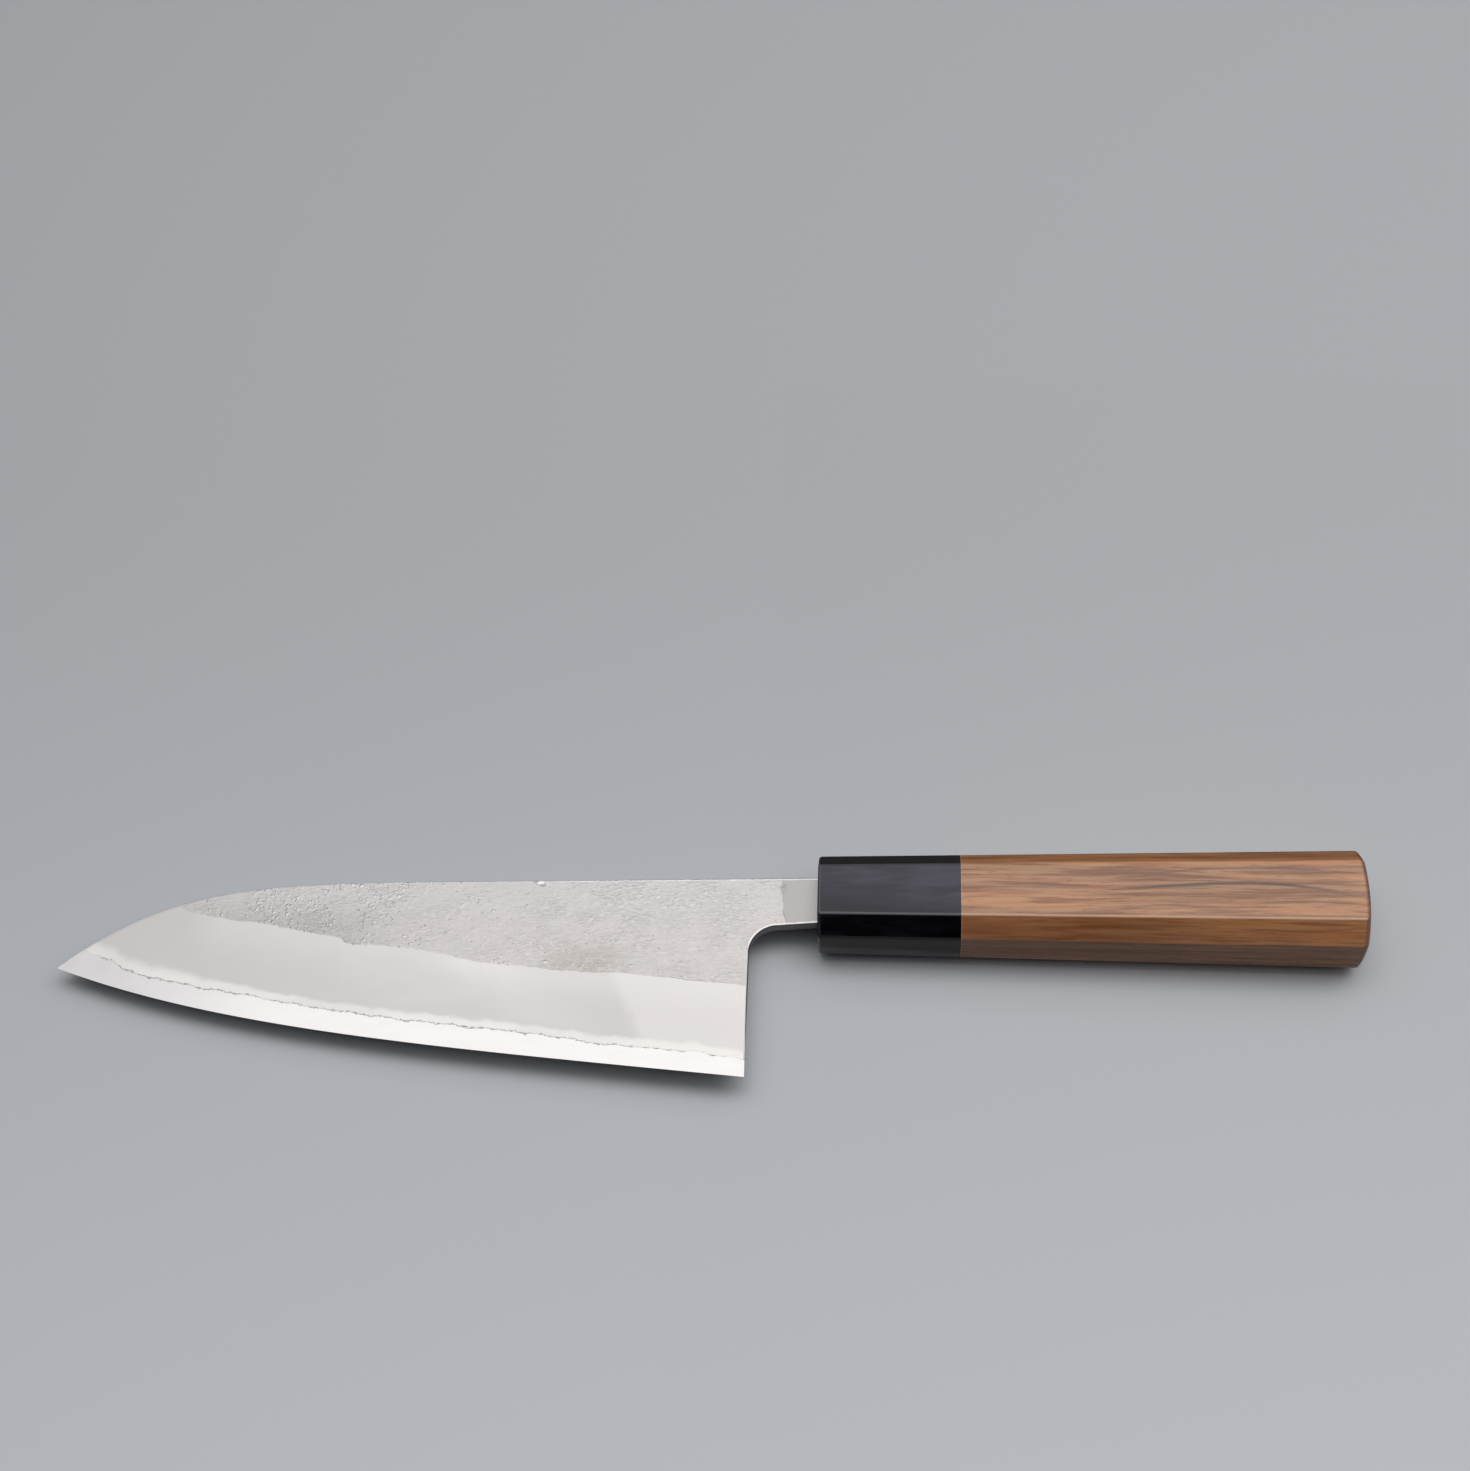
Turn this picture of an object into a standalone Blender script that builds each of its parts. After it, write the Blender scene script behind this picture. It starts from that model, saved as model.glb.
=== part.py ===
"""Santoku knife: a three-layer laminated blade in an octagonal wooden handle.

The knife lies on a flat of its handle. The handle's axis runs along X, with the butt at +X and the
tip at -X, the cutting edge faces -Y and the spine +Y. The origin is on the table, under the middle
of the wooden part of the handle. All sizes are in metres.

The pieces are drawn in the handle's own frame, where x is 0 at the ferrule's front face and z is 0
in the middle of the blade's thickness. An empty then lays the whole knife on its lower flat.
"""
import math

import bmesh
import bpy
from mathutils import Matrix, Vector

# Handle: an octagon that widens towards the butt
HANDLE_LENGTH = 0.1298
FRONT_WIDTH = 0.0214
FRONT_THICKNESS = 0.0186
FRONT_CORNER_CUT = 0.0044
REAR_WIDTH = 0.0251
REAR_THICKNESS = 0.0221
REAR_CORNER_CUT = 0.0050
FACET_EASE = 0.00025
FERRULE_LENGTH = 0.0340
FERRULE_FRONT_WALL = 0.0050
FERRULE_RIM_RADIUS = 0.0008
BUTT_RIM_RADIUS = 0.0006
BUTT_DOME_RADIUS = 0.0620
GLUE_LINE = 0.00005

# Inside the handle: the dowel joins ferrule and wood, and holds the glued tang
SOLID_BUTT = 0.0250
DOWEL_WALL = 0.0010
DOWEL_FIT = 0.00015
ADHESIVE_WALL = 0.0006
ADHESIVE_FIT = 0.00015
ADHESIVE_PLUG = 0.0020

# Blade outline, seen from its side
BLADE_LENGTH = 0.1695
NECK_LENGTH = 0.0165
HEEL_DROP = 0.04415
TIP_DROP = 0.0187
SPINE_RISE = 0.00646
SPINE_FALL = math.radians(0.96)
NOSE_START = 0.0900
NOSE_FULLNESS = 0.52
TIP_FULLNESS = 0.34
TIP_SPINE_ANGLE = math.radians(41.4)
EDGE_HEEL_ANGLE = math.radians(4.9)
EDGE_TIP_ANGLE = math.radians(19.5)
EDGE_HEEL_FULLNESS = 0.44
EDGE_TIP_FULLNESS = 0.27
NECK_DEPTH = 0.0120
NECK_FLARE = math.radians(4.4)
CHOIL_RADIUS = 0.0070

# Blade section: a flat that thins from the spine, then a bevel down to the edge
NECK_THICKNESS = 0.0035
TIP_THICKNESS = 0.0012
FLAT_TAPER = math.radians(0.7)
BEVEL_HEIGHT_HEEL = 0.0223
BEVEL_HEIGHT_TIP = 0.0252
CORE_BAND = 0.0055
CORE_THICKNESS_NECK = 0.0008
CORE_THICKNESS_TIP = 0.0004
SHARPENED_HEIGHT = 0.0006
SHARPENED_THICKNESS = 0.00018
CORNER_EASE = 0.00035
WELD_GAP = 0.00002

# Tang: shoulders inside the ferrule, then a tapered bar
TANG_WIDTH = 0.0090
TANG_END_WIDTH = 0.0055
TANG_END_THICKNESS = 0.0022
TANG_POINT = 0.0020
SHOULDER_SETBACK = 0.0020
SHOULDER_RUN = 0.0005
SLOT_FIT = 0.00020

# Facets
BORE_SIDES = 48
FACET_STEPS = 4
RIM_STEPS = 4
DOME_STEPS = 4
CHOIL_STEPS = 10
STATION_SPACING = 0.0025
MERGE = 0.000001

# Places that follow from the sizes above, along the handle's axis
HEEL_X = -NECK_LENGTH
TIP_X = HEEL_X - BLADE_LENGTH
WOOD_FRONT_X = FERRULE_LENGTH + GLUE_LINE
BORE_END_X = HANDLE_LENGTH - SOLID_BUTT
DOWEL_FRONT_X = FERRULE_FRONT_WALL + DOWEL_FIT
DOWEL_END_X = BORE_END_X - DOWEL_FIT
TANG_END_X = DOWEL_END_X - ADHESIVE_PLUG - ADHESIVE_FIT
SHOULDER_X = FERRULE_FRONT_WALL - SHOULDER_SETBACK
TANG_START_X = SHOULDER_X + SHOULDER_RUN

# The tang's slot in the dowel, and the dowel round it
SLOT_HALF_WIDTH = TANG_WIDTH / 2 + ADHESIVE_WALL + 2 * ADHESIVE_FIT
SLOT_HALF_THICKNESS = NECK_THICKNESS / 2 + ADHESIVE_WALL + 2 * ADHESIVE_FIT
DOWEL_RADIUS = math.hypot(SLOT_HALF_WIDTH, SLOT_HALF_THICKNESS) + DOWEL_WALL
BORE_RADIUS = (DOWEL_RADIUS + DOWEL_FIT) / math.cos(math.pi / BORE_SIDES)

# Colour, roughness and metallic value of each piece
FINISHES = {
    "blade_core": ((0.80, 0.80, 0.79), 0.22, 1.0),
    "blade_cladding_left": ((0.62, 0.61, 0.60), 0.42, 1.0),
    "blade_cladding_right": ((0.62, 0.61, 0.60), 0.42, 1.0),
    "ferrule": ((0.012, 0.012, 0.015), 0.18, 0.0),
    "handle_body": ((0.30, 0.15, 0.085), 0.45, 0.0),
    "handle_dowel": ((0.62, 0.46, 0.28), 0.70, 0.0),
    "tang_adhesive": ((0.55, 0.45, 0.25), 0.35, 0.0),
}


def mix(a, b, share):
    return a + (b - a) * share


def steps_between(start, end, spacing):
    """Evenly spaced values after start, up to and including end."""
    count = max(1, math.ceil(abs(end - start) / spacing))
    return [mix(start, end, i / count) for i in range(1, count + 1)]


# Blade outline

def heading(angle):
    """A unit vector in the blade's plane, turned by angle from +X towards the spine."""
    return Vector((math.cos(angle), math.sin(angle)))


def bezier(curve, t):
    a, b, c, d = curve
    return a * (1 - t) ** 3 + b * 3 * t * (1 - t) ** 2 + c * 3 * t * t * (1 - t) + d * t**3


def height_at(curve, x):
    """The y of a curve that runs steadily towards -X, where it passes x."""
    low, high = 0.0, 1.0
    for _ in range(50):
        middle = (low + high) / 2
        if bezier(curve, middle).x > x:
            low = middle
        else:
            high = middle
    return bezier(curve, (low + high) / 2).y


def spine_line(x):
    """The straight part of the spine, carried on in both directions."""
    return SPINE_RISE + math.tan(SPINE_FALL) * x


TIP = Vector((TIP_X, -TIP_DROP))
HEEL = Vector((HEEL_X, -HEEL_DROP))
NOSE = Vector((-NOSE_START, spine_line(-NOSE_START)))
NOSE_RUN = NOSE.x - TIP_X
NOSE_CURVE = (
    NOSE,
    NOSE - NOSE_FULLNESS * NOSE_RUN * heading(SPINE_FALL),
    TIP + TIP_FULLNESS * NOSE_RUN * heading(TIP_SPINE_ANGLE),
    TIP,
)
EDGE_CURVE = (
    HEEL,
    HEEL - EDGE_HEEL_FULLNESS * BLADE_LENGTH * heading(-EDGE_HEEL_ANGLE),
    TIP + EDGE_TIP_FULLNESS * BLADE_LENGTH * heading(-EDGE_TIP_ANGLE),
    TIP,
)


def spine_y(x):
    return spine_line(x) if x >= NOSE.x else height_at(NOSE_CURVE, x)


def edge_y(x):
    return height_at(EDGE_CURVE, x)


def blade_depth(x):
    return spine_y(x) - edge_y(x)


def where_depth_is(depth, low, high):
    """The x between low and high where the blade, narrowing to its tip, is this deep."""
    for _ in range(50):
        middle = (low + high) / 2
        if blade_depth(middle) < depth(middle):
            low = middle
        else:
            high = middle
    return (low + high) / 2


def bevel_height(x):
    return mix(BEVEL_HEIGHT_HEEL, BEVEL_HEIGHT_TIP, (HEEL_X - x) / BLADE_LENGTH)


# Blade section, as half thicknesses on either side of the middle plane

def core_half(x):
    """Half the hard core's thickness: it thins towards the tip and is even along the tang."""
    return mix(CORE_THICKNESS_NECK, CORE_THICKNESS_TIP, max(0.0, x / TIP_X)) / 2


def flat_half(x, y):
    """Half the blade's thickness on its flat, which is one plane from ferrule to nose."""
    if x < 0:
        thickness = mix(NECK_THICKNESS, TIP_THICKNESS, x / TIP_X)
    else:
        thickness = mix(NECK_THICKNESS, TANG_END_THICKNESS, x / TANG_END_X)
    return thickness / 2 - math.tan(FLAT_TAPER) * (spine_line(min(x, 0.0)) - y)


CLADDING_END_X = where_depth_is(lambda x: CORE_BAND, TIP_X, HEEL_X)


def ease(x):
    """The corner chamfer's width, which fades along the spine to where the cladding ends."""
    return CORNER_EASE * min(1.0, max(0.0, (x - CLADDING_END_X) / (HEEL_X - CLADDING_END_X)))


RIDGE_END_X = where_depth_is(lambda x: bevel_height(x) + ease(x), CLADDING_END_X, HEEL_X)
RIDGE_END_Y = spine_y(RIDGE_END_X) - ease(RIDGE_END_X)
NOSE_BEVEL_SLOPE = (flat_half(RIDGE_END_X, RIDGE_END_Y) - core_half(RIDGE_END_X)) / (
    bevel_height(RIDGE_END_X) - CORE_BAND
)


def section(x):
    """(y, half thickness) at the spine, its chamfer, the ridge, the weld line, the sharpened band and the edge."""
    top, bottom, core, corner = spine_y(x), edge_y(x), core_half(x), ease(x)
    if x <= CLADDING_END_X:
        share = max(0.0, (top - bottom) / CORE_BAND)
        spine = weld = (top, core * share)
        below_spine = ridge = spine
    else:
        share = 1.0
        weld = (bottom + CORE_BAND, core)
        if x > RIDGE_END_X:
            below_spine = (top - corner, flat_half(x, top - corner))
            ridge_y = bottom + bevel_height(x)
            ridge = (ridge_y, flat_half(x, ridge_y))
        else:
            below_spine = (top - corner, core + NOSE_BEVEL_SLOPE * (top - corner - weld[0]))
            ridge = below_spine
        spine = (top, max(below_spine[1] - corner, mix(core, below_spine[1], 0.5)))
    sharpened = (bottom + SHARPENED_HEIGHT * share, SHARPENED_THICKNESS / 2 * share)
    return [spine, below_spine, ridge, weld, sharpened, (bottom, 0.0)]


WELD_ROWS_UP = 2


# Blade plan: quads of (x, y, half thickness), the same for the core and both claddings

UNDERSIDE_Y = SPINE_RISE - NECK_DEPTH
CHOIL_X = HEEL_X + CHOIL_RADIUS
CHOIL_Y = UNDERSIDE_Y + math.tan(NECK_FLARE) * CHOIL_X - CHOIL_RADIUS / math.cos(NECK_FLARE)


def neck_underside(x):
    return UNDERSIDE_Y + math.tan(NECK_FLARE) * min(x, 0.0)


INNER_HEEL_X = HEEL_X - ease(HEEL_X)


def choil_row():
    """The pair of section lines that the choil's foot lies between at the heel, and its share of the way."""
    lines = section(INNER_HEEL_X)
    for i, (upper, lower) in enumerate(zip(lines, lines[1:])):
        if upper[0] > CHOIL_Y >= lower[0]:
            return i, (upper[0] - CHOIL_Y) / (upper[0] - lower[0])
    return 1, 0.5


CHOIL_ROW, CHOIL_SHARE = choil_row()


def blade_column(x):
    """The section at x as (x, y, half thickness), with one more line that ends at the choil's foot."""
    lines = section(x)
    upper, lower = lines[CHOIL_ROW], lines[CHOIL_ROW + 1]
    extra = (mix(upper[0], lower[0], CHOIL_SHARE), mix(upper[1], lower[1], CHOIL_SHARE))
    lines.insert(CHOIL_ROW + 1, extra)
    return [(x, y, half) for y, half in lines]


def eased(half, x):
    """Half thickness at a rounded-off corner, never below the core's."""
    core = core_half(x)
    return max(half - ease(x), (half + core) / 2) if half > core else half


def neck_column(x, foot):
    """Spine, chamfer, inner and outer line of the neck's underside; foot gives the last two as (x, y)."""
    (inner_x, inner_y), (outer_x, outer_y) = foot
    top = spine_line(x)
    return [
        (x, top, eased(flat_half(x, top), x)),
        (x, top - ease(x), flat_half(x, top - ease(x))),
        (inner_x, inner_y, flat_half(inner_x, inner_y)),
        (outer_x, outer_y, eased(flat_half(outer_x, outer_y), outer_x)),
    ]


def tang_column(x, upper, lower, thickness_x):
    corner = ease(x)
    half = flat_half(thickness_x, spine_line(0.0))
    return [
        (x, upper, half - corner),
        (x, upper - corner, half),
        (x, lower + corner, half),
        (x, lower, half - corner),
    ]


def quads_between(columns):
    """Quads between neighbouring columns, as (corners, row), leaving out rows that have closed up."""
    quads = []
    for left, right in zip(columns, columns[1:]):
        for row in range(len(left) - 1):
            height = max(left[row][1] - left[row + 1][1], right[row][1] - right[row + 1][1])
            if height > MERGE:
                quads.append(((left[row], left[row + 1], right[row + 1], right[row]), row))
    return quads


def blade_plan():
    """(quads over the whole blade and tang, the same without the bare core along the edge)."""
    stations = [TIP_X]
    for mark in (CLADDING_END_X, RIDGE_END_X, NOSE.x, INNER_HEEL_X):
        stations += steps_between(stations[-1], mark, STATION_SPACING)
    columns = [blade_column(x) for x in stations]
    quads = quads_between(columns)

    # The heel's face: a narrow eased band below the choil
    inner = columns[-1][CHOIL_ROW + 1:]
    below_choil = [(CHOIL_Y, inner[0][2])] + section(HEEL_X)[CHOIL_ROW + 1:]
    outer = [(HEEL_X, y, eased(half, HEEL_X)) for y, half in below_choil]
    band = [(corners, row + CHOIL_ROW + 1) for corners, row in quads_between([inner, outer])]

    # The choil's arc, then the neck and its shoulders
    neck = []
    centre = Vector((CHOIL_X, CHOIL_Y))
    for i in range(CHOIL_STEPS + 1):
        outwards = heading(math.pi - (math.pi / 2 - NECK_FLARE) * i / CHOIL_STEPS)
        inside = centre + outwards * (CHOIL_RADIUS + ease(HEEL_X))
        neck.append(neck_column(inside.x, (inside, centre + outwards * CHOIL_RADIUS)))
    for x in (0.0, SHOULDER_X):
        under = neck_underside(x)
        neck.append(neck_column(x, ((x, under + ease(x)), (x, under))))

    # The tang, drawn in to a blunt point
    half_start, half_end = TANG_WIDTH / 2, TANG_END_WIDTH / 2
    point_x = TANG_END_X - TANG_POINT
    neck.append(tang_column(TANG_START_X, half_start, -half_start, TANG_START_X))
    neck.append(tang_column(point_x, half_end, -half_end, TANG_END_X))
    neck.append(tang_column(TANG_END_X, half_end / 2, -half_end / 2, TANG_END_X))
    grip = [corners for corners, _ in quads_between(neck)]

    weld_row = len(columns[0]) - 1 - WELD_ROWS_UP
    whole = [corners for corners, _ in quads + band] + grip
    clad = [corners for corners, row in quads + band if row < weld_row] + grip
    return whole, clad


# Modelling helpers

def finished(bm, name):
    """The object for a mesh whose faces are turned outwards, with its own material."""
    bmesh.ops.recalc_face_normals(bm, faces=bm.faces)
    mesh = bpy.data.meshes.new(name)
    bm.to_mesh(mesh)
    bm.free()
    mesh.shade_smooth()
    mesh.set_sharp_from_angle(angle=math.radians(30))
    piece = bpy.data.objects.new(name, mesh)
    bpy.context.collection.objects.link(piece)
    if name in FINISHES:
        mesh.materials.append(material(name, *FINISHES[name]))
    return piece


def material(name, colour, roughness, metallic):
    surface = bpy.data.materials.new(name)
    surface.use_nodes = True
    shader = surface.node_tree.nodes["Principled BSDF"]
    shader.inputs["Base Color"].default_value = (*colour, 1.0)
    shader.inputs["Roughness"].default_value = roughness
    shader.inputs["Metallic"].default_value = metallic
    surface.diffuse_color = (*colour, 1.0)
    return surface


def layer(name, quads, bottom, top):
    """A closed sheet of steel over the plan: bottom and top give its two sides from (x, half thickness)."""
    bm = bmesh.new()
    outer_half = bm.verts.layers.float.new("half_thickness")
    for corners in quads:
        ring = []
        for x, y, half in corners:
            vertex = bm.verts.new((x, y, 0.0))
            vertex[outer_half] = half
            ring.append(vertex)
        bm.faces.new(ring)
    bmesh.ops.remove_doubles(bm, verts=bm.verts, dist=MERGE)
    lower = bm.verts[:]
    lifted = bmesh.ops.extrude_face_region(bm, geom=bm.faces[:])["geom"]
    for vertex in lower:
        vertex.co.z = bottom(vertex.co.x, vertex[outer_half])
    for vertex in (item for item in lifted if isinstance(item, bmesh.types.BMVert)):
        vertex.co.z = top(vertex.co.x, vertex[outer_half])
    bmesh.ops.remove_doubles(bm, verts=bm.verts, dist=MERGE)
    return finished(bm, name)


def loft(name, rings, apex=None):
    """A closed body through rings of equally many points; the last ring is drawn to the apex, if given."""
    bm = bmesh.new()
    loops = [[bm.verts.new(point) for point in ring] for ring in rings]
    for one, two in zip(loops, loops[1:]):
        for i in range(len(one)):
            j = (i + 1) % len(one)
            bm.faces.new((one[i], one[j], two[j], two[i]))
    bm.faces.new(loops[0])
    last = bm.faces.new(loops[-1])
    if apex:
        bmesh.ops.poke(bm, faces=[last])["verts"][0].co = apex
    return finished(bm, name)


def rod(name, start, end, radius):
    """A round rod along the handle's axis."""
    bm = bmesh.new()
    placed = Matrix.Translation(((start + end) / 2, 0, 0)) @ Matrix.Rotation(math.pi / 2, 4, "Y")
    bmesh.ops.create_cone(
        bm, cap_ends=True, segments=BORE_SIDES, radius1=radius, radius2=radius, depth=end - start, matrix=placed
    )
    return finished(bm, name)


def bar_ring(x, lower, upper, half_thickness):
    return [
        (x, lower, -half_thickness),
        (x, upper, -half_thickness),
        (x, upper, half_thickness),
        (x, lower, half_thickness),
    ]


def cut(piece, cutter):
    """Cuts the cutter out of the piece, and hides the cutter."""
    boolean = piece.modifiers.new("cut_" + cutter.name, "BOOLEAN")
    boolean.operation = "DIFFERENCE"
    boolean.solver = "EXACT"
    boolean.object = cutter
    cutter.hide_render = True
    cutter.display_type = "WIRE"


# Handle section

def octagon(x, inset=0.0):
    """The handle's eased octagon at x, drawn in all round by inset."""
    share = x / HANDLE_LENGTH
    half_width = mix(FRONT_WIDTH, REAR_WIDTH, share) / 2 - inset
    half_thickness = mix(FRONT_THICKNESS, REAR_THICKNESS, share) / 2 - inset
    corner_cut = mix(FRONT_CORNER_CUT, REAR_CORNER_CUT, share) - inset * (2 - math.sqrt(2))
    corners = []
    for side_y, side_z in ((1, 1), (-1, 1), (-1, -1), (1, -1)):
        on_side = Vector((x, side_y * half_width, side_z * (half_thickness - corner_cut)))
        on_flat = Vector((x, side_y * (half_width - corner_cut), side_z * half_thickness))
        corners += [on_side, on_flat] if side_y == side_z else [on_flat, on_side]
    ring = []
    for corner, following in zip(corners, corners[1:] + corners[:1]):
        along = (following - corner).normalized() * FACET_EASE
        ring += [(corner + along).lerp(following - along, i / FACET_STEPS) for i in range(FACET_STEPS + 1)]
    return ring


def rim_turns(radius):
    """(inset, distance from the end) of each octagon round a rim, from the facets to the end."""
    turns = [math.pi / 2 * i / RIM_STEPS for i in range(RIM_STEPS + 1)]
    return [(radius * (1 - math.cos(turn)), radius * (1 - math.sin(turn))) for turn in turns]


def on_dome(point, before=0.0):
    """The point moved along x to lie this far before the butt's domed end."""
    off_axis = math.hypot(point[1], point[2])
    sink = BUTT_DOME_RADIUS - math.sqrt(BUTT_DOME_RADIUS**2 - off_axis**2)
    return Vector((HANDLE_LENGTH - sink - before, point[1], point[2]))


# Pieces

def blade_pieces():
    whole, clad = blade_plan()
    core = layer("blade_core", whole, lambda x, h: -min(h, core_half(x)), lambda x, h: min(h, core_half(x)))

    def weld_side(x, half):
        return core_half(x) + WELD_GAP

    def outside(x, half):
        return max(half, core_half(x) + WELD_GAP)

    left = layer("blade_cladding_left", clad, weld_side, outside)
    right = layer("blade_cladding_right", clad, lambda x, h: -outside(x, h), lambda x, h: -weld_side(x, h))
    return [core, left, right]


def ferrule():
    rim = [octagon(before, inset) for inset, before in rim_turns(FERRULE_RIM_RADIUS)]
    piece = loft("ferrule", [octagon(FERRULE_LENGTH)] + rim)
    behind = FERRULE_LENGTH + FERRULE_FRONT_WALL
    cut(piece, rod("ferrule_bore", FERRULE_FRONT_WALL, behind, BORE_RADIUS))
    upper = spine_line(SHOULDER_X) + SLOT_FIT
    lower = UNDERSIDE_Y - SLOT_FIT
    half = NECK_THICKNESS / 2 + SLOT_FIT
    ends = (-FERRULE_FRONT_WALL, FERRULE_FRONT_WALL + BORE_RADIUS)
    cut(piece, loft("ferrule_slot", [bar_ring(x, lower, upper, half) for x in ends]))
    return piece


def handle_body():
    rings = [octagon(WOOD_FRONT_X)]
    for inset, before in rim_turns(BUTT_RIM_RADIUS):
        rings.append([on_dome(point, before) for point in octagon(HANDLE_LENGTH, inset)])
    outermost = rings[-1]
    for i in range(1, DOME_STEPS):
        share = 1 - i / DOME_STEPS
        rings.append([on_dome(point * share) for point in outermost])
    piece = loft("handle_body", rings, apex=(HANDLE_LENGTH, 0.0, 0.0))
    cut(piece, rod("handle_bore", FERRULE_LENGTH - DOWEL_RADIUS, BORE_END_X, BORE_RADIUS))
    return piece


def handle_dowel():
    piece = rod("handle_dowel", DOWEL_FRONT_X, DOWEL_END_X, DOWEL_RADIUS)
    ends = (DOWEL_FRONT_X - DOWEL_RADIUS, DOWEL_END_X + DOWEL_RADIUS)
    rings = [bar_ring(x, -SLOT_HALF_WIDTH, SLOT_HALF_WIDTH, SLOT_HALF_THICKNESS) for x in ends]
    cut(piece, loft("dowel_slot", rings))
    return piece


def tang_adhesive():
    """A sleeve that fills the slot round the tang, closed behind the tang's end."""
    outer_width = SLOT_HALF_WIDTH - ADHESIVE_FIT
    outer_thickness = SLOT_HALF_THICKNESS - ADHESIVE_FIT
    mouth_width = TANG_WIDTH / 2 + ADHESIVE_FIT
    end_width = TANG_END_WIDTH / 2 + ADHESIVE_FIT
    mouth_thickness = NECK_THICKNESS / 2 + ADHESIVE_FIT
    end_thickness = TANG_END_THICKNESS / 2 + ADHESIVE_FIT
    hole_end = TANG_END_X + ADHESIVE_FIT
    return loft(
        "tang_adhesive",
        [
            bar_ring(DOWEL_END_X, -outer_width, outer_width, outer_thickness),
            bar_ring(DOWEL_FRONT_X, -outer_width, outer_width, outer_thickness),
            bar_ring(DOWEL_FRONT_X, -mouth_width, mouth_width, mouth_thickness),
            bar_ring(hole_end, -end_width, end_width, end_thickness),
        ],
    )


def lay_on_lower_flat():
    """An empty that turns the handle's frame so that its lower flat is level, with the origin on it."""
    slope = (REAR_THICKNESS - FRONT_THICKNESS) / 2 / HANDLE_LENGTH
    turn = Matrix.Rotation(-math.atan(slope), 4, "Y")
    middle_x = (WOOD_FRONT_X + HANDLE_LENGTH) / 2
    on_flat = Vector((middle_x, 0.0, -FRONT_THICKNESS / 2 - slope * middle_x))
    empty = bpy.data.objects.new("knife", None)
    bpy.context.collection.objects.link(empty)
    empty.rotation_euler = turn.to_euler()
    empty.location = -(turn @ on_flat)
    return empty


def main():
    for item in list(bpy.data.objects):
        bpy.data.objects.remove(item, do_unlink=True)
    blade_pieces()
    ferrule()
    handle_body()
    handle_dowel()
    tang_adhesive()
    pieces = list(bpy.data.objects)
    knife = lay_on_lower_flat()
    for piece in pieces:
        piece.parent = knife


main()
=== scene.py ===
"""Looks of the santoku knife: forged and ground steel, black ferrule, oiled walnut, soft studio light.

The knife lies on a flat of its handle, with the edge towards -Y, the spine towards +Y, the tip at
-X and the butt at +X. The pieces are drawn in the handle's own frame, where x is 0 at the ferrule's
front face and z is 0 in the middle of the blade's thickness, and each object's matrix lays them
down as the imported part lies. Lengths are in metres, but the blade's attributes and the materials
have them in millimetres.
"""
import math

import bmesh
import bpy
from mathutils import Matrix, Vector, noise
from mathutils.geometry import delaunay_2d_cdt


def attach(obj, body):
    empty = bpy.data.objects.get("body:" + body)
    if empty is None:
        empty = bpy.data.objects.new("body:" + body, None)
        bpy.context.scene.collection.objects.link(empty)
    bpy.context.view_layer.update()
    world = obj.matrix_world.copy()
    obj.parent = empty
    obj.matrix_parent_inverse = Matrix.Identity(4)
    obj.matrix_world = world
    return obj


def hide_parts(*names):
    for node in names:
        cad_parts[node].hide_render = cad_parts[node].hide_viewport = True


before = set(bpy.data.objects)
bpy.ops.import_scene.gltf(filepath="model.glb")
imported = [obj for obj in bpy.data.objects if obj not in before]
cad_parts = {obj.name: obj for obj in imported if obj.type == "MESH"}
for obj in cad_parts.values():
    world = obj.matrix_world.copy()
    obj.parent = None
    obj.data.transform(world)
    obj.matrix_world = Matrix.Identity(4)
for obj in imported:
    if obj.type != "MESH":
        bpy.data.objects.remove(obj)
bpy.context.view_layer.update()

MM = 0.001

# Handle: an octagon that widens towards the butt
HANDLE_LENGTH = 0.1298
FRONT_WIDTH = 0.0214
FRONT_THICKNESS = 0.0186
FRONT_CORNER_CUT = 0.0044
REAR_WIDTH = 0.0251
REAR_THICKNESS = 0.0221
REAR_CORNER_CUT = 0.0050
FLAT_RISE = (REAR_THICKNESS - FRONT_THICKNESS) / 2 / HANDLE_LENGTH
FLAT_SPREAD = ((REAR_WIDTH - FRONT_WIDTH) / 2 - (REAR_CORNER_CUT - FRONT_CORNER_CUT)) / HANDLE_LENGTH
FACET_EASE = 0.00045
FERRULE_LENGTH = 0.0340
FERRULE_FRONT_WALL = 0.0050
FERRULE_RIM_RADIUS = 0.0008
BUTT_RIM_RADIUS = 0.0010
BUTT_DOME_RADIUS = 0.0620
GLUE_LINE = 0.00005
BORE_RADIUS = 0.00718
BORE_START = 0.020
BORE_END = 0.1048
SLOT_FIT = 0.00020
SLOT_ENDS = (-0.005, 0.010)
BORE_SIDES = 64
FACET_STEPS = 6
CORNER_STEPS = 4
RIM_STEPS = 8
DOME_STEPS = 10

# Blade outline, seen from its side
BLADE_LENGTH = 0.1695
NECK_LENGTH = 0.0165
HEEL_DROP = 0.04415
TIP_DROP = 0.0187
SPINE_RISE = 0.00646
SPINE_FALL = math.radians(0.96)
NOSE_START = 0.0900
NOSE_FULLNESS = 0.52
TIP_FULLNESS = 0.34
TIP_SPINE_ANGLE = math.radians(41.4)
EDGE_HEEL_ANGLE = math.radians(4.9)
EDGE_TIP_ANGLE = math.radians(19.5)
EDGE_HEEL_FULLNESS = 0.44
EDGE_TIP_FULLNESS = 0.27
NECK_DEPTH = 0.0120
NECK_FLARE = math.radians(4.4)
CHOIL_RADIUS = 0.0070

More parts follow.
